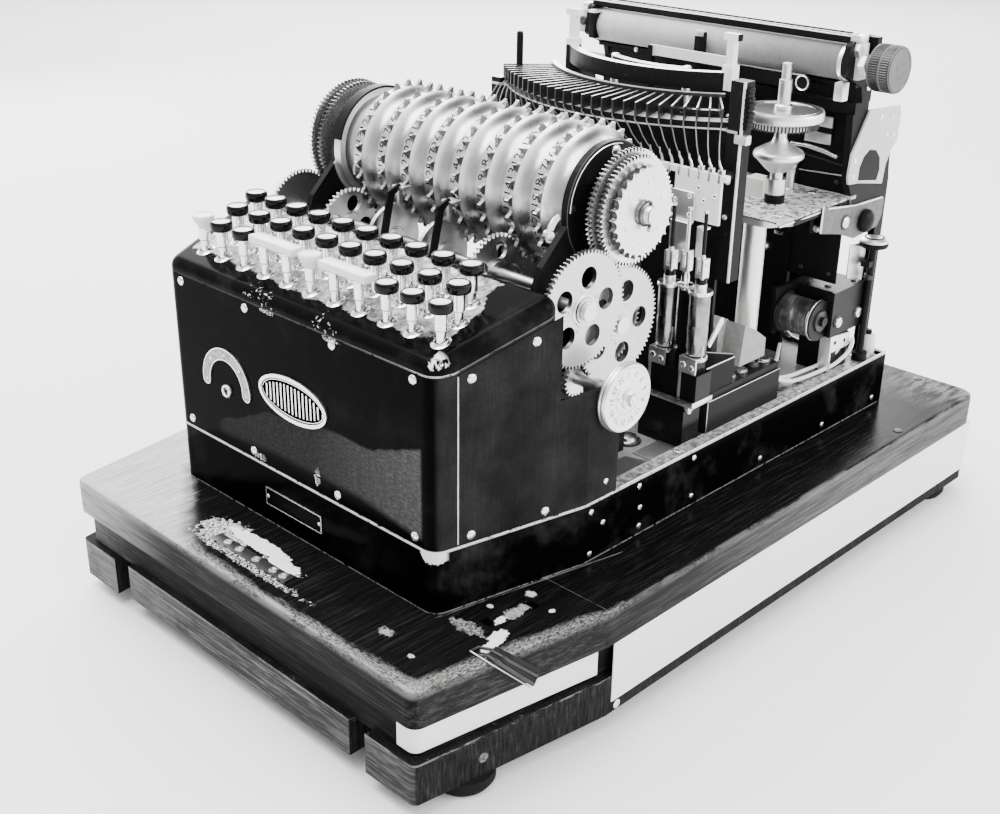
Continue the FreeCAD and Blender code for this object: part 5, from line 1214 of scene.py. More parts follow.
# ---------------------------------------------------------------- pull wires, comb and contact plate
wires = Piece("pull_wires", M_WIRE)
comb = Piece("comb_hooks", M_BRIGHT)
for k in range(28):
    a = math.radians(-42.5 + 3.0 * k)
    xk = -88.0 + 236.0 * k / 27
    sx, cy = 20 + 172.1 * math.sin(a), 430 - 172.1 * math.cos(a)
    lo = Vector((xk - 1.6, 269.4, 252.0))
    hi = Vector((sx, cy, 276.0))
    pts = [hi, hi + Vector((0, -0.2, -4.5))]
    for q in (0.3, 0.55, 0.8):
        pts.append(hi.lerp(lo, q) + Vector((0, -1.2 * math.sin(math.pi * q), -2.2 * math.sin(math.pi * q))))
    pts.append(lo)
    wires.rod(pts, 0.5, n=6)
    comb.rod([(xk, 270.4, 243.4), (xk + 0.2, 270.3, 246.2), (xk - 0.6, 270.0, 249.0), (xk - 1.8, 269.5, 251.4), (xk - 2.1, 269.2, 254.6)],
             [1.25, 1.15, 1.0, 0.85, 0.55], n=8)
    comb.box((xk - 0.9, 267.6, 238.4), (1.8, 0.9, 6.0), soft=0.25)
for k in (25, 26, 27):
    xk = -88.0 + 236.0 * k / 27
    comb.box((xk - 1.9, 268.4, 243.8), (3.8, 3.8, 4.0), soft=0.4)
wires.done("base", "steel")
comb.done("base", "steel")

cp = Piece("contact_plates", M_WHITEMETAL, M_DARKMETAL)
cp.plate([(206.0, 107.6), (226.0, 107.6), (227.6, 108.4), (228.3, 110.0), (228.3, 127.0), (227.6, 128.6), (226.0, 129.3), (206.0, 129.3)],
         266.4, 1.2, "y", soft=0.35)
for ex, ez in ((131.2, 232), (136.2, 223.6), (139.8, 213.2), (145.5, 228.5)):
    cp.turn([(2.0, 0), (2.0, 0.35), (1.5, 0.75), (1.0, 0.5), (0.8, 0.2)], (ex, 268, ez), "-y", n=18)
    cp.turn([(0.85, 0.2), (0, 0.2)], (ex, 268, ez), "-y", n=18, mat=1)
for ex, ez in ((124.9, 225.0), (125.4, 211.5), (112.4, 220.4), (112.4, 209.5)):
    cp.turn([(1.8, 0), (1.8, 0.35), (1.35, 0.7), (0.9, 0.5), (0.7, 0.2)], (ex, 266.4, ez), "-y", n=18)
    cp.turn([(0.75, 0.2), (0, 0.2)], (ex, 266.4, ez), "-y", n=18, mat=1)
cp.plate([(176.0, 112.0), (206.5, 112.0), (206.5, 128.0), (178.0, 128.0), (176.0, 126.0)], 262.6, 1.0, "y", soft=0.3)
cp.plate([(183.0, 136.0), (206.0, 136.0), (206.0, 140.0), (204.6, 141.5), (204.6, 144.4), (183.0, 144.4)], 262.6, 1.0, "y", soft=0.3)
for x0, x1 in ((112.5, 128), (136.4, 144)):
    cp.box((x0, 262.7, 204.5), (x1 - x0, 5.4, 1.6), soft=0.3)
cp.done("base", "bright_plate")

# ---------------------------------------------------------------- solenoids
M_SLEEVE = metal("solenoid_sleeve", 0.30, 0.20, stain=0.55, brush=(1, 1, 16), size=9, metallic=1.0)
sol = Piece("solenoid_details", M_SLEEVE, M_WHITEMETAL, M_BRIGHT, M_DARKMETAL, M_FRAME)
for i, x in enumerate((121.0, 149.0)):
    at = (x, 255.0, 0.0)
    sol.turn([(7.5, 114.4), (7.72, 114.8), (7.72, 136.5), (7.62, 136.9), (7.62, 137.9), (7.72, 138.3), (7.72, 160.2), (7.5, 160.6)], at, "z", n=40, mat=0)
    sol.turn([(7.6, 160.4), (8.9, 160.8), (9.0, 161.4), (9.0, 162.6), (8.5, 163.2), (4.0, 163.3)], at, "z", n=40, mat=2)
    sol.turn([(4.0, 110.0), (8.6, 110.1), (8.9, 110.7), (8.9, 112.6), (8.4, 113.1), (7.6, 113.2)], at, "z", n=40, mat=2)
    sol.turn([(4.3, 163.2), (4.35, 168.0), (3.8, 168.8), (3.6, 172.6), (2.6, 173.2)], at, "z", n=24, mat=1)
    # fork with its pin and the thin rod above
    sol.box((x - 3.6, 251.2, 172.0), (7.2, 7.6, 4.0), mat=1, soft=0.7)
    sol.box((x - 3.6, 251.2, 175.4), (2.2, 7.6, 11.6), mat=1, soft=0.6)
    sol.box((x + 1.4, 251.2, 175.4), (2.2, 7.6, 11.6), mat=1, soft=0.6)
    sol.rod([(x - 4.6, 255, 182.5), (x + 4.6, 255, 182.5)], 1.6, n=14, mat=2)
    sol.turn([(1.7, 176.5), (2.1, 177.5), (2.1, 187.0), (1.3, 190.0), (1.15, 219.5), (1.9, 220.3), (1.9, 222.0), (0, 222.4)], at, "z", n=16, mat=1)
    # clip at the foot with two screws
    sol.box((x - 7.6, 245.4, 101.0), (15.2, 1.5, 12.4), mat=1, soft=0.45)
    sol.box((x - 7.6, 245.4, 111.6), (15.2, 7.0, 1.6), mat=1, soft=0.45)
    screw(sol, (x - 3.6, 245.4, 107.2), "-y", 2.5, 1.1, angle=20 + 60 * i, mat=2)
    screw(sol, (x + 3.8, 245.4, 105.8), "-y", 2.5, 1.1, angle=80 + 40 * i, mat=2)
    sol.box((x - 7.4, 245.6, 79.8), (2.4, 1.7, 22.0), mat=1, soft=0.4)
    sol.box((x + 4.8, 246.6, 79.8), (1.8, 1.7, 22.0), mat=3, soft=0.4)
# middle rod with its fork and guide ring
sol.turn([(1.0, 190.0), (1.0, 219.0), (1.8, 219.6), (1.8, 221.2), (0, 221.6)], (135, 255, 0), "z", n=14, mat=1)
sol.box((131.6, 251.6, 176.0), (2.0, 6.8, 14.0), mat=1, soft=0.6)
sol.box((136.4, 251.6, 176.0), (2.0, 6.8, 14.0), mat=1, soft=0.6)
sol.box((131.6, 251.6, 174.6), (6.8, 6.8, 2.6), mat=1, soft=0.6)
sol.rod([(130.8, 255, 186), (139.2, 255, 186)], 1.5, n=12, mat=2)
sol.turn([(2.6, 160.0), (3.2, 161.0), (3.2, 170.0), (2.2, 174.8)], (135, 255, 0), "z", n=20, mat=2)
sol.rod([(135 + 6.2 * math.cos(t * math.pi / 12), 255 + 6.2 * math.sin(t * math.pi / 12), 164.0) for t in range(25)], 0.8, n=8, mat=2, ends=False)
sol.box((130.6, 257.0, 100.4), (8.8, 3.0, 64.0), mat=4, soft=0.6)
# thin coil wires
sol.rod([(128.6, 253, 130), (130.2, 250.5, 124), (130.2, 249.0, 117), (128.2, 247.8, 112), (124.6, 246.8, 110)], 0.55, n=7, mat=2)
sol.rod([(156.4, 253.0, 122), (158.2, 250.8, 117), (158.0, 248.8, 112.5), (154.5, 247.0, 109.4)], 0.55, n=7, mat=2)
# base plate edge, nuts underneath
sol.box((105.7, 242.6, 75.7), (52.6, 1.0, 4.6), mat=2, soft=0.3)
sol.box((157.6, 242.8, 75.7), (0.9, 24.4, 4.6), mat=2, soft=0.3)
sol.turn([(3.3, 76), (3.3, 72.4), (2.6, 71.6), (0, 71.4)], (152.0, 247.5, 0), "z", n=6, mat=1)
sol.turn([(2.0, 71.6), (2.0, 69.6), (0, 69.4)], (152.0, 247.5, 0), "z", n=14, mat=2)
screw(sol, (115, 248, 80.0), "z", 2.6, 1.2, angle=50, mat=2)
# flat inclined lever and the block behind it
sol.plate([(268.2, 117.4), (270.6, 114.0), (285.8, 130.8), (285.9, 133.4), (284.2, 135.2), (282.0, 134.6)], 148.8, 1.7, "x", mat=1, soft=0.35)
sol.plate([(126.8, 268.0), (150.0, 268.0), (150.0, 305.0), (146.0, 309.0), (126.8, 294.5)], 70.5, 27.0, "z", mat=4, soft=0.6)
sol.rod([(126.8, 294.3, 97.6), (146.0, 308.6, 97.6), (149.8, 304.8, 97.6), (149.8, 268.2, 97.6)], 0.55, n=7, mat=2)
sol.done("base", "steel")

# ---------------------------------------------------------------- terminal strip
ts = Piece("terminal_details", M_BRIGHT, M_DARKMETAL, M_INSUL, M_STEEL)
for k in range(6):
    y = 281.0 + 15.6 * k
    dark = k in (1, 4)
    if dark:
        ts.turn([(0, 75.9), (5.9, 75.9), (6.0, 76.4), (6.0, 77.4), (5.4, 77.9), (5.3, 78.7), (5.3, 79.7), (4.7, 80.4), (3.3, 80.6), (3.0, 79.7), (0, 79.6)],
                (141, y, 0), "z", n=32, mat=1)
        ts.turn([(2.6, 79.6), (2.5, 80.4), (1.9, 80.8), (0, 80.9)], (141, y, 0), "z", n=20, mat=3)
    else:
        ts.turn([(0, 75.9), (5.8, 75.9), (6.0, 76.3), (6.0, 77.0), (5.4, 77.3)], (141, y, 0), "z", n=32, mat=0)
        screw(ts, (141, y, 77.0), "z", 5.35, 2.0, angle=(62, 0, 15, 55, 0, 100)[k], mat=0, kind=FLAT)
ts.box((131.3, 318.6, 70.0), (19.4, 1.0, 6.3), mat=2, soft=0.2)
ts.box((132.0, 288.4, 76.0), (1.4, 66.0, 0.5), mat=3, soft=0.15)
ts.rod([(152.1, 272.6, 70.3), (152.1, 367.4, 70.3)], 0.35, n=6, mat=3)
ts.rod([(151.9, 272.1, 45.0), (151.9, 272.1, 69.8)], 0.4, n=6, mat=3)
ts.done("base", "steel")

# ---------------------------------------------------------------- electromagnet
emp = Piece("electromagnet_details", M_BRIGHT, M_DARKMETAL, M_WHITEMETAL, M_IVORY, M_FRAME, M_CARD, M_WINDING)
emp.turn([(14.9, 116.6), (15.35, 117.0), (15.35, 129.4), (15.2, 129.7), (15.2, 130.5), (15.35, 130.8), (15.35, 143.2), (14.9, 143.6)], (0, 429, 93), "x", n=56, mat=6)
emp.turn([(15.0, 143.8), (17.2, 143.9), (17.5, 144.4), (17.5, 145.4), (17.1, 145.9), (15.4, 146.2), (14.6, 146.6), (0, 146.7)], (0, 429, 93), "x", n=56, mat=0)
emp.turn([(9.5, 146.6), (9.2, 148.6), (8.6, 149.2), (0, 149.3)], (0, 429, 93), "x", n=40, mat=1)
emp.turn([(15.0, 116.2), (17.3, 116.0), (17.4, 115.4), (17.4, 114.6), (17.0, 114.0)], (0, 429, 93), "x", n=56, mat=1)
screw(emp, (153.0, 447, 89), "x", 4.5, 2.5, angle=35, mat=0, kind=FLAT)
screw(emp, (153.0, 478, 90), "x", 4.5, 2.5, angle=20, mat=0, kind=FLAT)
for y, z in ((447, 89), (478, 90)):
    emp.turn([(5.4, 0), (5.4, 0.35), (5.0, 0.6), (4.4, 0.65)], (153.0, y, z), "x", n=32, mat=1)
# white bracket with two holes under the plate
emp.plate([(442, 61.5), (471, 61.5), (472.5, 63), (472.5, 73.6), (442, 76.5)], 151.2, 1.2, "x", mat=2, soft=0.3)
for y, z in ((449, 69.5), (464, 68.0)):
    emp.turn([(1.9, 1.25), (1.6, 1.5), (1.1, 1.3), (0, 1.26)], (151.2, y, z), "x", n=20, mat=4)
emp.box((142.0, 442.0, 45.4), (10.2, 3.0, 30.0), mat=2, soft=0.4)
emp.box((142.0, 468.0, 45.4), (10.2, 3.0, 29.0), mat=1, soft=0.4)
# rough screws on top of the yoke
for x, y, r in ((139, 450, 3.0), (128, 470, 3.0), (146, 478, 2.2), (123, 446, 2.2)):
    screw(emp, (x, y, 115.9), "z", r, 1.6, angle=random.uniform(0, 180), mat=1)
# white plate behind the adjusting rod, insulator on the tray floor
emp.plate([(462.5, 122.0), (488.0, 116.0), (488.0, 149.0), (462.5, 151.5)], 147.0, 1.3, "x", mat=2, soft=0.3)
emp.turn([(0, 45.0), (6.6, 45.0), (7.0, 45.8), (7.0, 60.0), (6.4, 61.8), (5.4, 62.6), (2.6, 62.8)], (151.5, 505.5, 0), "z", n=32, mat=3)
emp.turn([(3.0, 62.6), (3.2, 63.2), (3.2, 65.4), (2.4, 66.6), (0, 66.8)], (151.5, 505.5, 0), "z", n=24, mat=4)
# adjusting rod cap, wide and flat
emp.turn([(0, 145.8), (8.8, 146.0), (11.2, 146.8), (12.0, 148.2), (12.0, 150.2), (11.7, 151.2)], (156, 486, 0), "z", n=44, mat=4)
emp.turn([(11.7, 151.2), (11.3, 152.8), (9.6, 154.2), (6.0, 155.1), (0, 155.5)], (156, 486, 0), "z", n=44, mat=2)
emp.turn([(3.3, 118.0), (4.6, 118.6), (4.6, 122.4), (3.3, 123.0)], (156, 486, 0), "z", n=24, mat=1)
emp.done("base", "steel")

lead = Piece("lead_wires", M_CARD)
for pts, r in (([(136, 368, 57), (137, 376, 56), (138, 390, 51), (138, 408, 47.4), (139, 428, 46.6), (142, 444, 48), (147, 454, 54), (150.5, 459, 61)], 1.7),
               ([(143, 368, 57), (144, 378, 55), (146, 394, 49), (147, 412, 46.8), (149, 434, 46.8), (152, 452, 49), (155, 466, 56), (155.5, 472, 63), (153.8, 474, 68)], 1.7),
               ([(133, 368, 62), (132, 377, 61), (129, 392, 58), (124, 406, 57), (119, 416, 60), (117, 421, 67)], 1.5)):
    P = [Vector(p) for p in pts]
    fine = []
    for i in range(len(P) - 1):
        p0, p1, p2, p3 = P[max(i - 1, 0)], P[i], P[i + 1], P[min(i + 2, len(P) - 1)]
        for q in range(6):
            t = q / 6.0
            fine.append(0.5 * ((2 * p1) + (p2 - p0) * t + (2 * p0 - 5 * p1 + 4 * p2 - p3) * t * t + (3 * p1 - p0 - 3 * p2 + p3) * t ** 3))
    fine.append(P[-1])
    lead.rod(fine, r, n=12)
lead.done("base", "insulator")

# ---------------------------------------------------------------- rear right plates and castings
rr = Piece("rear_right_plates", M_PLATEGRAY, M_BRIGHT, M_FRAME, M_CASTLIGHT, M_WHITEMETAL, M_DARKMETAL)
rr.plate([(404.0, 197.5), (411.0, 193.0), (452.0, 187.5), (494.5, 186.3), (498.0, 185.0), (497.0, 170.5), (491.0, 162.3), (455.6, 159.5), (432.5, 167.8), (404.0, 173.9)], 152.2, 1.5, "x", mat=0, soft=0.35)
rr.rod([(152.9, 411.0, 193.0), (152.9, 452.0, 187.5), (152.9, 494.5, 186.3)], 0.95, n=10, mat=1)
rr.rod([(152.9, 404.3, 174.4), (152.9, 404.3, 197.0)], 0.8, n=10, mat=1)
rr.turn([(6.4, 0), (6.4, 0.6), (5.8, 1.0), (5.0, 1.0)], (153.7, 438.8, 176.5), "x", n=32, mat=5)
screw(rr, (153.8, 438.8, 176.5), "x", 5.0, 2.3, angle=25, mat=1)
rr.turn([(0, 0), (8.8, 0), (9.6, 1.0), (9.8, 2.8), (9.0, 5.0), (6.8, 6.9), (3.4, 8.0), (0, 8.3)], (153.6, 467.5, 172.5), "x", n=36, mat=2)
# casting with a D shaped opening, and its screws
rr.plate([(456.0, 264.0), (503.0, 261.0), (505.5, 256.0), (505.0, 232.0), (497.0, 226.0), (491.0, 214.0), (489.0, 199.0), (452.0, 206.0), (436.0, 207.5),
          (434.0, 214.0), (436.0, 232.0), (446.0, 248.0)], 152.0, 2.4, "x", mat=3, soft=0.5)
rr.plate([(449.0, 209.0), (478.0, 204.0), (481.0, 212.0), (479.0, 222.5), (472.0, 229.5), (462.0, 231.5), (454.0, 227.0), (449.5, 219.0)], 154.2, 0.7, "x", mat=2, soft=0.2)
for y, z, r in ((474.0, 256.0, 2.8), (492.0, 253.0, 2.2), (486.0, 240.0, 2.6), (497.0, 238.0, 2.2), (441.0, 226.0, 2.4), (441.0, 213.0, 2.4)):
    screw(rr, (154.3, y, z), "x", r, 1.3, angle=random.uniform(0, 180), mat=1)
# parallel white plates with a dark gap, bright link and ball pillar on the shelf
rr.box((103.5, 444.8, 246.5), (25.0, 2.4, 8.6), mat=4, soft=0.4)
rr.box((104.5, 444.8, 233.0), (24.0, 2.4, 8.6), mat=4, soft=0.4)
rr.box((104.0, 446.4, 233.0), (24.5, 1.6, 22.0), mat=2, soft=0.3)
# dark sheets that close the rear above and below the shelf
rr.box((99.5, 449.2, 195.0), (46.0, 1.6, 66.5), mat=2, soft=0.3)
rr.box((99.5, 449.2, 119.5), (46.0, 1.6, 68.0), mat=2, soft=0.3)
rr.rod([(100.5, 448.4, 222.0), (145.0, 448.4, 218.0)], 0.8, n=8, mat=5)
rr.rod([(100.5, 448.4, 208.0), (145.0, 448.4, 210.5)], 0.6, n=8, mat=1)
for x, z in ((112.0, 180.0), (136.0, 180.0), (112.0, 127.0), (138.0, 127.0), (136.0, 204.0)):
    screw(rr, (x, 449.0, z), "-y", 2.0, 1.0, angle=random.uniform(0, 180), mat=5)
rr.box((118.0, 445.6, 158.0), (3.0, 3.4, 14.0), mat=5, soft=0.5)
rr.turn([(3.2, 0), (3.6, 0.8), (3.4, 5.4), (2.4, 7.4), (0, 8.0)], (126.0, 449.0, 164.0), "-y", n=22, mat=4)
rr.rod([(98.0, 436.5, 231.0), (112.0, 436.5, 231.6), (130.0, 436.5, 229.6), (141.0, 436.8, 227.0)], 1.7, n=12, mat=1)
rr.turn([(4.6, 194.4), (4.6, 196.4), (3.4, 197.4), (3.3, 209.0), (2.8, 211.6), (3.6, 213.4), (4.4, 216.0), (4.2, 218.6), (2.8, 220.4), (0, 221.0)], (106, 428, 0), "z", n=26, mat=4)
screw(rr, (140.0, 360.0, 194.5), "z", 3.4, 1.6, angle=20, mat=1)
screw(rr, (122.0, 437.0, 194.5), "z", 3.4, 1.6, angle=110, mat=1)
screw(rr, (92.0, 352.0, 194.5), "z", 3.4, 1.6, angle=70, mat=1)
rr.rod([(150.8, 346.2, 191.2), (150.8, 404.0, 191.2)], 1.0, n=10, mat=1)
rr.rod([(113.0, 345.2, 193.8), (150.0, 345.2, 193.8)], 0.7, n=8, mat=1)
# small fittings on the dark wall under the shelf
for x, z, w in ((60, 168, 8), (72, 162, 6), (40, 120, 7), (84, 150, 8)):
    rr.box((x, 446.6, z), (w, 2.2, 3.0), mat=1, soft=0.5)
rr.turn([(0, 0), (4.4, 0.3), (4.8, 3.2), (3.6, 5.6), (0, 6.4)], (76, 447.8, 138), "-y", n=24, mat=4)
rr.done("base", "steel")

# ---------------------------------------------------------------- back of the machine
bk = Piece("rear_details", M_BRIGHT, M_DARKMETAL, M_FRAME, M_STEEL, M_INSUL, M_IVORY)
# lower panel: raised frame, row of louvres, corner screws
for lo_, sz in (((-136.0, 495.8, 62.0), (234.0, 1.2, 4.0)), ((-136.0, 495.8, 166.0), (234.0, 1.2, 4.0)),
                ((-136.0, 495.8, 66.0), (4.0, 1.2, 100.0)), ((94.0, 495.8, 66.0), (4.0, 1.2, 100.0))):
    bk.box(lo_, sz, mat=1, soft=0.4)
for i in range(9):
    z = 92.0 + 7.0 * i
    bk.plate([(495.6, z), (498.6, z - 3.4), (498.9, z - 2.8), (496.4, z + 0.6)], -104.0, 118.0, "x", mat=2, soft=0.25)
for x in (-131.0, -60.0, 20.0, 89.0):
    for z in (69.5, 162.5):
        screw(bk, (x, 496.0, z), "y", 2.8, 1.3, angle=random.uniform(0, 180), mat=0)
# socket block with six sockets and its lead to the bed
bk.box((34.0, 495.8, 84.0), (50.0, 8.0, 30.0), mat=4, soft=1.4, seg=3)
for i in range(3):
    for j in range(2):
        bk.turn([(3.6, 0), (3.6, 0.7), (3.0, 1.0), (2.2, 0.8), (2.0, 0.1), (0, 0.05)], (44.0 + 15.0 * i, 503.7, 92.5 + 13.0 * j), "y", n=24, mat=0)
for k, (x, r) in enumerate(((50.0, 2.0), (58.0, 2.0), (66.0, 1.7))):
    bk.rod([(x, 500.0, 84.5), (x, 500.6, 74.0), (x + 1.5, 500.8, 58.0), (x + 5.0, 499.0, 47.0), (x + 16.0, 496.0, 41.8), (x + 34.0, 492.0, 41.4)], r, n=12, mat=2 if k < 2 else 3)
# crossbar: screws and a worn upper edge
for x in (-128.0, -64.0, 0.0, 64.0, 128.0):
    screw(bk, (x, 485.0, 192.0), "y", 3.2, 1.5, angle=random.uniform(0, 180), mat=0)
bk.rod([(-137.0, 485.0, 206.0), (151.0, 485.0, 206.0)], 0.5, n=8, mat=3)
# rear wall between shelf and rail: stiffening beads and a row of rivets
for z in (216.0, 250.0):
    bk.turn([(0, -104.0), (1.6, -103.0), (1.9, -100.0), (1.9, 132.0), (1.6, 135.0), (0, 136.0)], (0, 451.8, z), "x", n=14, mat=2)
for i in range(12):
    bk.turn([(1.7, 0), (1.7, 0.5), (1.1, 1.0), (0, 1.15)], (-102.0 + 18.0 * i, 451.9, 233.0), "y", n=14, mat=3)
# return spring of the carriage along the rail
sp_ = []
for q in range(0, 40 * 12 + 1):
    t = q / 12.0
    sp_.append((-120.0 + 4.6 * t, 459.2 + 2.1 * math.cos(2 * math.pi * t), 266.5 + 2.1 * math.sin(2 * math.pi * t)))
bk.rod(sp_, 0.45, n=6, mat=0)
for x in (-122.0, 66.0):
    bk.turn([(0, 0), (2.4, 0), (2.6, 0.6), (2.6, 5.6), (2.0, 6.2), (0, 6.3)], (x, 455.8, 266.5), "y", n=20, mat=0)
# cleats and nuts on the bed
for x in (-140.0, -60.0, 60.0):
    for y in (420.0, 474.0):
        bk.turn([(4.6, 38.9), (4.6, 41.4), (4.0, 42.0), (0, 42.1)], (x, y, 0), "z", n=6, mat=0)
for y in (215.0, 250.0, 330.0, 400.0):
    screw(bk, (-140.0, y, 38.9), "z", 3.0, 1.4, angle=random.uniform(0, 180), mat=0)
bk.done("base", "steel")

# ---------------------------------------------------------------- guide ring, posts, levers and tray floor
gr = Piece("guide_ring_details", M_BRIGHT, M_FRAME, M_WHITEMETAL, M_DARKMETAL)
for q in range(16):
    a = math.radians(16.0 + 1.55 * q)
    c = Vector((20 + 110.8 * math.sin(a), 430 - 110.8 * math.cos(a), 293.0))
    gr.box(c - Vector((0.75, 0.9, 3.0)), (1.5, 1.8, 6.0), mat=0, soft=0.3)
gr.turn([(4.2, 273.6), (4.2, 275.2), (3.0, 275.8), (2.6, 277.0)] + [(2.6 + 0.35 * (i % 2), 277.4 + 1.15 * i) for i in range(28)] + [(2.2, 310.4), (0, 311.0)],
        (-84.0, 308.0, 0), "z", n=20, mat=1)
screw(gr, (20 + 165 * math.sin(math.radians(41.0)), 430 - 165 * math.cos(math.radians(41.0)), 273.8), "z", 3.6, 2.2, angle=40, mat=2)
screw(gr, (20 + 151 * math.sin(math.radians(41.0)), 430 - 151 * math.cos(math.radians(41.0)), 273.8), "z", 2.6, 1.6, angle=120, mat=2)
# rough sleeve and white block near the head of the right post
for i in range(9):
    gr.box((140.2 + random.uniform(-0.5, 0.5), 297.0 + random.uniform(-0.5, 0.5), 270.5 + 3.3 * i), (7.4 + random.uniform(-0.6, 0.9), 8.0, 3.1), mat=1, soft=0.9)
gr.box((138.6, 295.2, 260.6), (10.6, 6.4, 6.6), mat=2, soft=0.8)
gr.rod([(144.5, 295.6, 158.0), (144.5, 295.6, 259.6)], 0.85, n=8, mat=0)
gr.turn([(2.0, 0), (2.0, 1.0), (1.2, 1.6), (0, 1.7)], (136.5, 296.0, 232.0), "-y", n=14, mat=2)
gr.turn([(2.0, 0), (2.0, 1.0), (1.2, 1.6), (0, 1.7)], (136.5, 296.0, 206.0), "-y", n=14, mat=0)
# curved link between the ring's posts
ang = [math.radians(-26 + 5.0 * q) for q in range(11)]
gr.plate([(20 + 92 * math.sin(a), 430 - 92 * math.cos(a)) for a in ang] + [(20 + 86 * math.sin(a), 430 - 86 * math.cos(a)) for a in reversed(ang)], 286.0, 9.0, "z", mat=1, soft=0.4)
gr.plate([(20 + 92.3 * math.sin(a), 430 - 92.3 * math.cos(a)) for a in ang] + [(20 + 85.7 * math.sin(a), 430 - 85.7 * math.cos(a)) for a in reversed(ang)], 295.0, 1.0, "z", mat=0, soft=0.25)
for a in (-25.0, 23.0):
    t = math.radians(a)
    gr.turn([(3.2, 262.0), (3.2, 296.2), (2.4, 297.2), (0, 297.4)], (20 + 89 * math.sin(t), 430 - 89 * math.cos(t), 0), "z", n=18, mat=2)
gr.rod([(-28, 346, 288), (-8, 372, 288)], 1.5, n=10, mat=2)
gr.done("base", "steel")

fl = Piece("bed_details", M_STEEL, M_BRIGHT, M_DARKMETAL, M_FRAME)
fl.turn([(0, 38.9), (9.0, 38.9), (9.4, 39.6), (9.2, 41.0), (7.6, 41.6), (7.2, 42.6), (6.8, 44.0), (4.4, 45.0), (0, 45.4)], (112.0, 228.0, 0), "z", n=40, mat=1)
fl.turn([(10.4, 38.9), (10.4, 40.2), (9.9, 40.6)], (112.0, 228.0, 0), "z", n=40, mat=2)
fl.plate([(128.5, 152.0), (150.0, 152.0), (150.0, 212.0), (128.5, 205.0)], 39.0, 1.6, "z", mat=0, soft=0.3)
fl.box((128.6, 214.0, 39.0), (21.0, 55.0, 1.1), mat=0, soft=0.3)
fl.box((129.0, 372.0, 39.0), (21.0, 46.0, 1.2), mat=1, soft=0.3)
for y in (158, 232, 392, 500):
    screw(fl, (156.0, y, 44.4), "z", 2.6, 1.3, angle=random.uniform(0, 180), mat=1)
screw(fl, (141.0, 504.0, 39.0), "z", 3.0, 1.5, angle=20, mat=1)
for y in (300, 452):
    fl.turn([(1.8, 0), (1.8, 0.9), (1.1, 1.4), (0, 1.5)], (162.0, y, 42.0), "x", n=12, mat=1)
fl.rod([(163.9, 156.0, 46.0), (163.9, 516.0, 46.0)], 0.7, n=8, mat=1)
fl.done("base", "steel")

# ---------------------------------------------------------------- rotor ends, pawls and gear fittings
re = Piece("rotor_end_details", M_FRAME, M_WHITEMETAL, M_BRIGHT, M_DARKMETAL, M_STEEL)
prof = []
for q in range(31):
    a = math.radians(18 + 150.0 * q / 30)
    prof.append((184 + 44.7 * math.cos(a), 234.5 + 44.7 * math.sin(a)))
for q in range(30, -1, -1):
    a = math.radians(18 + 150.0 * q / 30)
    prof.append((184 + 43.0 * math.cos(a), 234.5 + 43.0 * math.sin(a)))
re.plate(prof, -119.2, 8.6, "x", mat=0, soft=0.35)
for a, r, s in ((70, 27.0, 2.6), (110, 27.0, 2.6), (150, 27.0, 2.6), (186, 27.0, 3.4), (128, 31.0, 1.6), (168, 31.0, 1.6)):
    t = math.radians(a)
    re.turn([(s + 0.7, 0), (s + 0.7, 0.5), (s, 0.8), (s - 0.5, 0.25), (0, 0.2)], (-94.5, 184 + r * math.cos(t), 234.5 + r * math.sin(t)), "x", n=22, mat=1)
    re.turn([(s - 0.4, 0.26), (0, 0.28)], (-94.5, 184 + r * math.cos(t), 234.5 + r * math.sin(t)), "x", n=22, mat=3)
# curled hook lever in front of the contact ring
hook = [(-98.0, 148.0 + 5.4 * math.cos(math.radians(a)) * (0.55 + 0.45 * i / 12.0), 222.5 + 5.4 * math.sin(math.radians(a)) * (0.55 + 0.45 * i / 12.0))
        for i, a in enumerate(range(-150, 211, 30))]
hook += [(-98.0, 143.4, 226.5), (-98.0, 146.5, 232.0), (-98.0, 152.0, 235.0)]
re.rod(hook, 1.35, n=10, mat=4)
re.box((-99.2, 150.0, 231.6), (2.6, 9.0, 4.4), mat=0, soft=0.5)
# right end plate: screw, bright strip along the edge and light lever
screw(re, (119.6, 187.5, 270.0), "x", 4.3, 1.9, angle=70, mat=2)
screw(re, (119.6, 146.0, 238.0), "x", 2.6, 1.2, angle=10, mat=3)
edge = [(119.9, 184 + 40.8 * math.cos(math.radians(a)), 234.5 + 40.8 * math.sin(math.radians(a))) for a in range(76, 184, 6)]
re.rod(edge, 0.42, n=6, mat=2)
re.plate([(118.5, 222.0), (122.0, 220.5), (125.2, 223.5), (124.6, 228.5), (127.5, 232.5), (131.5, 235.5), (130.0, 238.5), (125.0, 237.0), (121.0, 233.0),
          (118.6, 228.0)], 121.0, 1.5, "x", mat=1, soft=0.3)
re.turn([(3.4, 118.6), (3.4, 122.9), (2.6, 123.6), (0, 123.7)], (0, 122.0, 226.0), "x", n=20, mat=2)
# T shaped heads of the two pawls
for x in (-30.2, 21.6):
    re.box((x - 5.6, 125.6, 225.4), (11.2, 9.0, 1.9), mat=1, soft=0.5)
    re.box((x - 1.4, 126.4, 212.0), (2.8, 3.6, 14.0), mat=4, soft=0.5)
re.done("base", "steel")

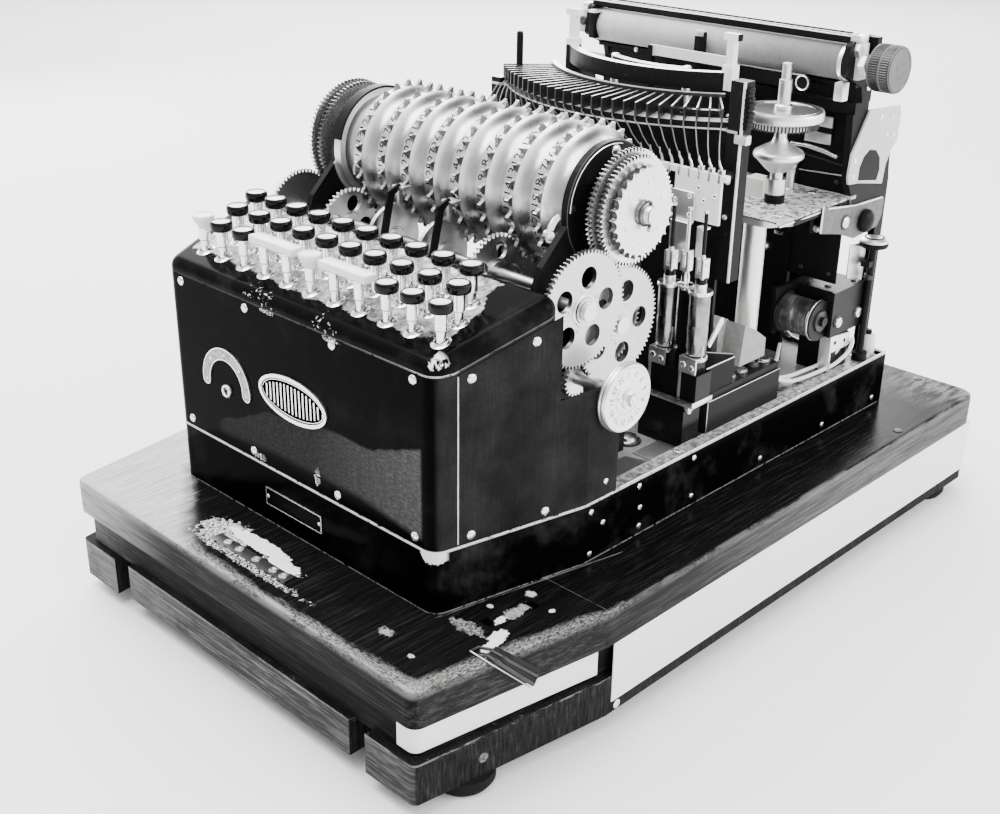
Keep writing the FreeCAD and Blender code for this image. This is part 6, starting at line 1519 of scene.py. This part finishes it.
sh = Piece("shaft_end_details", M_DARKMETAL, M_WHITEMETAL, M_BRIGHT)
sh.rod([(151.4, 184 + 8.0 * math.cos(math.radians(a)), 234.5 + 8.0 * math.sin(math.radians(a))) for a in range(70, 311, 15)], 0.95, n=8, mat=0)
sh.turn([(6.1, 149.6), (6.4, 150.2), (6.4, 156.4), (5.7, 157.6), (0, 158.0)], (0, 184, 234.5), "x", n=30, mat=1)
sh.rod([(154.2, 184, 226.0), (154.2, 184, 243.0)], 1.25, n=12, mat=0)
sh.turn([(0, 0), (2.0, 0.2), (2.4, 1.6), (1.8, 2.8), (0, 3.2)], (154.2, 184, 225.6), "-z", n=16, mat=2)
for a in range(0, 360, 60):
    t = math.radians(a + 20)
    sh.turn([(1.5, 149.5), (1.5, 149.9), (0.9, 150.3), (0, 150.35)], (0, 184 + 20 * math.cos(t), 234.5 + 20 * math.sin(t)), "x", n=12, mat=2)
sh.done("rotor_shaft_gears", "nickel")

for nm, c, x, r in (("idler_gear_rear", (178.002, 154.424), 136.5, 11.4), ("idler_gear_front", (134.317, 177.120), 143.0, 11.0)):
    g = Piece(nm + "_details", M_BRIGHT, M_STEEL)
    g.turn([(r, 0), (r, 0.5), (r - 0.5, 0.9), (r - 1.6, 0.95), (r - 1.9, 0.6), (8.4, 0.55)], (x, *c), "x", n=48, mat=0)
    for a in range(0, 360, 72):
        t = math.radians(a + (54 if "rear" in nm else 30))
        g.turn([(1.3, 0), (1.3, 0.35), (0.8, 0.7), (0, 0.75)], (x, c[0] + 14.2 * math.cos(t), c[1] + 14.2 * math.sin(t)), "x", n=12, mat=1)
    g.done(nm, "nickel")

hw = Piece("hand_wheel_details", M_WHITEMETAL, M_PLATEGRAY, M_BRIGHT)
C = (148.143, 119.169)
hw.turn([(24.0, 166.2), (24.5, 166.8), (24.7, 168.0), (24.2, 168.9), (24.2, 169.6), (24.7, 170.5), (24.5, 171.8), (23.6, 172.9), (22.2, 173.1), (21.4, 172.7),
         (20.9, 172.55)], (0, *C), "x", n=72, mat=0)
hw.turn([(12.2, 172.5), (12.0, 173.0), (11.2, 173.3), (7.2, 173.35)], (0, *C), "x", n=56, mat=0)
hw.turn([(4.8, 175.2), (4.8, 177.0), (4.2, 177.8), (0, 178.0)], (0, *C), "x", n=6, mat=2)
hw.turn([(1.9, 177.9), (1.7, 178.5), (0, 178.7)], (0, *C), "x", n=14, mat=2)
hw.turn([(2.0, 173.3), (1.8, 174.3), (0, 174.6)], (0, C[0] - 9.0, C[1] + 2.0), "x", n=14, mat=2)
for k in range(13):
    a0 = math.radians(360.0 / 13 * k)

    def put(q, a0=a0):
        a = a0 - q.x * 4.0 / 17.0
        r = 17.0 + q.y * 4.0
        return (172.62, C[0] - r * math.sin(-a), C[1] + r * math.cos(a))
    hw.take(text_mesh(str(2 * k + 1)), put, mat=1)
hw.done("hand_wheel", "nickel")

st = Piece("stepping_details", M_DARKMETAL, M_BRIGHT)
for x in (-90, 65.4, -38.2, 13.6):
    for sx in (x - 0.1, x + 3.1):
        st.turn([(9.4, 0), (9.4, 0.25 if sx > x else -0.25), (8.8, 0.4 if sx > x else -0.4), (8.0, 0.4 if sx > x else -0.4)], (sx, 128.043, 186.537), "x", n=36, mat=1)
st.done("stepping_shaft", "steel")

# ---------------------------------------------------------------- carriage, platen and spindle
ca = Piece("carriage_details", M_BRIGHT, M_FRAME, M_CASTLIGHT, M_DARKMETAL, M_WHITEMETAL)
ca.box((-104.2, 419.4, 322.8), (259.4, 1.6, 0.8), mat=0, soft=0.25)
ca.box((-104.2, 427.0, 322.8), (259.4, 1.2, 0.8), mat=0, soft=0.25)
ca.box((-30.4, 408.4, 291.0), (150.8, 3.0, 1.0), mat=0, soft=0.3)
ca.turn([(5.6, 0), (5.6, 3.0), (4.8, 3.6), (0, 3.7)], (119.6, 411.4, 286.0), "-y", n=28, mat=1)
ca.turn([(5.9, 2.6), (5.9, 3.6), (5.2, 4.0), (4.8, 3.6)], (119.6, 411.4, 286.0), "-y", n=28, mat=0)
ca.box((-112.0, 412.0, 296.0), (8.2, 20.0, 19.0), mat=2, soft=1.6)
ca.box((-110.5, 414.0, 314.0), (6.0, 14.0, 6.6), mat=4, soft=1.2)
ca.turn([(4.2, 0), (4.2, 3.0), (3.2, 4.2), (0, 4.4)], (-107.5, 415.0, 306.0), "-y", n=20, mat=3)
ca.box((-98.8, 409.4, 292.6), (6.6, 8.0, 22.0), mat=1, soft=0.9)
ca.box((-99.6, 408.8, 314.0), (8.2, 9.4, 2.4), mat=4, soft=0.7)
ca.box((150.0, 419.4, 318.4), (9.0, 12.0, 6.2), mat=4, soft=1.2)
ca.box((155.2, 421.0, 291.5), (4.6, 11.0, 27.0), mat=2, soft=0.9)
ca.turn([(6.4, 0), (6.4, 4.0), (5.4, 5.2), (0, 5.3)], (155.0, 424.0, 314.0), "x", n=6, mat=4)
ca.box((148.6, 406.4, 277.0), (8.0, 8.4, 14.0), mat=4, soft=1.2)
screw(ca, (155.2, 440.5, 300.0), "x", 2.8, 1.4, angle=40, mat=0)
screw(ca, (155.2, 446.0, 283.0), "x", 2.8, 1.4, angle=110, mat=0)
for x in (-99.0, 152.5):
    screw(ca, (x, 423.0, 324.6 if x > 0 else 322.9), "z", 2.4, 1.4, angle=30, mat=0)
for x in (-60, -10, 40, 90, 140):
    ca.turn([(2.2, 0), (2.2, 1.0), (1.4, 1.6), (0, 1.7)], (x, 429.0, 285.5), "-y", n=14, mat=0)
# type guide in the middle, standing in front of the platen
ca.box((17.0, 405.6, 280.6), (10.0, 4.0, 32.0), mat=1, soft=0.8)
ca.box((18.0, 404.6, 309.0), (8.0, 4.0, 5.0), mat=4, soft=0.9)
ca.done("carriage_frame", "steel")

pr = Piece("platen_details", M_WHITEMETAL, M_FRAME, M_DARKMETAL, M_PLATEGRAY)
ax = (0, 426, 303)
pr.turn([(13.6, 144.8), (14.0, 145.2), (14.0, 147.6), (13.5, 148.4), (12.0, 148.7), (4.2, 148.8)], ax, "x", n=56, mat=0)
pr.turn([(13.6, -95.6), (13.9, -96.0), (13.9, -98.0), (13.3, -98.6), (4.2, -98.7)], ax, "x", n=56, mat=0)
pr.turn([(7.6, 158.4), (8.2, 159.0), (8.2, 163.6), (7.6, 164.4), (6.1, 164.6)], ax, "x", n=6, mat=0)
pr.turn([(6.4, 166.0), (6.4, 171.0), (5.6, 171.8), (4.2, 171.9)], ax, "x", n=28, mat=2)
pr.turn([(4.2, 171.6), (15.6, 171.7), (16.9, 172.4), (17.15, 173.2), (17.15, 180.6), (16.6, 181.1), (16.6, 181.7), (17.15, 182.2), (17.15, 188.8), (16.8, 189.9),
         (15.8, 190.4), (14.6, 190.3), (13.7, 189.8), (6.0, 190.05), (0, 190.1)], ax, "x", n=72, mat=[2] * 10 + [3] * 4)
for q in range(60):
    a = 2 * math.pi * q / 60
    u = Vector((0, math.cos(a), math.sin(a)))
    p0 = Vector(ax) + u * 17.2
    pr.rod([p0 + Vector((173.4, 0, 0)), p0 + Vector((180.4, 0, 0))], 0.42, n=5, mat=2)
    pr.rod([p0 + Vector((182.4, 0, 0)), p0 + Vector((188.6, 0, 0))], 0.42, n=5, mat=3)
pr.done("platen_roller", "platen_rubber")

sd = Piece("spindle_details", M_WHITEMETAL, M_DARKMETAL, M_BRIGHT)
at = (118, 388, 0)
sd.turn([(29.4, 268.3), (30.8, 268.8), (31.3, 267.9), (31.5, 265.0), (31.3, 262.4), (30.6, 261.6), (28.8, 261.5)], at, "z", n=80, mat=0)
sd.turn([(26.4, 268.4), (26.2, 268.9), (24.8, 269.1), (24.4, 268.4)], at, "z", n=80, mat=2)
for q in range(64):
    a = 2 * math.pi * q / 64
    c = Vector((118 + 27.4 * math.cos(a), 388 + 27.4 * math.sin(a), 0))
    sd.rod([c + Vector((0, 0, 255.6)), c + Vector((0, 0, 261.6))], 0.75, n=5, mat=1)
sd.turn([(5.0, 268.6), (6.8, 268.7), (6.8, 271.6), (6.0, 272.6), (5.0, 272.8)], at, "z", n=32, mat=2)
sd.turn([(5.1, 289.0), (4.6, 290.6), (3.6, 291.2), (3.6, 302.2), (3.0, 303.3), (0, 303.6)], at, "z", n=24, mat=0)
sd.turn([(19.0, 231.6), (19.6, 232.6), (19.6, 234.6), (18.6, 236.4), (13.0, 239.8), (7.4, 242.6), (6.0, 244.6), (5.1, 247.0)], at, "z", n=64, mat=0)
sd.turn([(19.0, 231.8), (14.0, 227.4), (9.2, 222.4), (7.0, 220.4), (5.1, 219.8)], at, "z", n=64, mat=0)
sd.done("ribbon_spindle", "nickel")

# ---------------------------------------------------------------- wooden base: clip, studs, screws
bd = Piece("base_fittings", M_INSUL, M_BRIGHT, M_DARKMETAL, M_STEEL)
strap = [((197.6, -7.4, 1.8), (204.8, -7.6, 1.8), (209.3, 21.6, -27.9)), ((196.9, -4.7, 1.8), (205.3, -4.7, 1.8), (209.5, 22.8, -25.1)),
         ((196.1, -1.9, 1.8), (205.7, -1.6, 1.8), (209.7, 24.1, -22.3)), ((195.4, 0.9, 1.8), (206.2, 1.6, 1.8), (209.9, 25.3, -19.5))]
for i, (p0, p1, p2) in enumerate(strap):
    v0, v1, v2 = Vector(p0), Vector(p1), Vector(p2)
    path = [v0.lerp(v1, q / 4.0) for q in range(4)]
    path += [(1 - t) * ((1 - t) * v0.lerp(v1, 0.8) + t * v1) + t * ((1 - t) * v1 + t * v1.lerp(v2, 0.15)) for t in (0.0, 0.25, 0.5, 0.75, 1.0)]
    path += [v1.lerp(v2, q / 10.0) for q in range(2, 11)]
    bd.rod(path, (1.7, 1.6, 1.6, 1.9)[i], n=10, mat=(2, 0, 2, 0)[i])
bd.rod([(185.2, -10.8, 1.0), (203.3, -11.3, 1.0), (204.6, -10.4, 0.2), (206.4, 4.0, -14.2), (208.4, 20.9, -31.0)], 0.55, n=8, mat=3)
bd.rod([(185.4, -11.0, 1.0), (186.0, -4.0, 1.0), (196.0, 0.6, 1.6)], 0.9, n=8, mat=2)
bd.rod([(209.3, 21.2, -28.4), (210.1, 26.0, -18.4)], 1.3, n=10, mat=0)
bd.box((-44.0, -44.4, 0.0), (84.0, 9.4, 0.5), mat=2, soft=0.2)
for i, x in enumerate((-29.3, -15.7, 3.6, 23.2, 34.0)):
    bd.turn([(3.4, 0.4), (3.4, 1.0), (2.9, 1.6), (2.0, 1.7), (1.5, 1.1), (0.9, 1.2), (0, 1.5)], (x, -39.6, 0), "z", n=24, mat=1 if i in (3,) else 3)
screw(bd, (209.0, 471.3, 0.0), "z", 4.0, 0.9, angle=30, mat=2)
screw(bd, (165.5, 585.0, 0.0), "z", 4.0, 0.9, angle=80, mat=2)
screw(bd, (-209.0, 471.3, 0.0), "z", 4.0, 0.9, angle=130, mat=2)
screw(bd, (-165.5, 585.0, 0.0), "z", 4.0, 0.9, angle=20, mat=2)
bd.turn([(3.4, 0), (3.4, 0.4), (2.4, 0.8), (0, 0.95)], (217.0, 98.5, -79.6), "x", n=18, mat=1)
bd.done("base", "steel")

# ---------------------------------------------------------------- floor
fm = Mat("floor_pale", ior=1.4)
fn = fm.noise(300, 3, 0.5)
fm.put("base", fm.mix(fn, (0.86, 0.86, 0.86), (0.90, 0.90, 0.90)))
fm.put("rough", 0.85)
fme = bpy.data.meshes.new("floor")
fme.from_pydata([(-6, -6, 0), (6, -6, 0), (6, 6, 0), (-6, 6, 0)], [], [(0, 1, 2, 3)])
fme.materials.append(fm.m)
floor = bpy.data.objects.new("floor", fme)
bpy.context.scene.collection.objects.link(floor)
floor.location.z = -0.0002
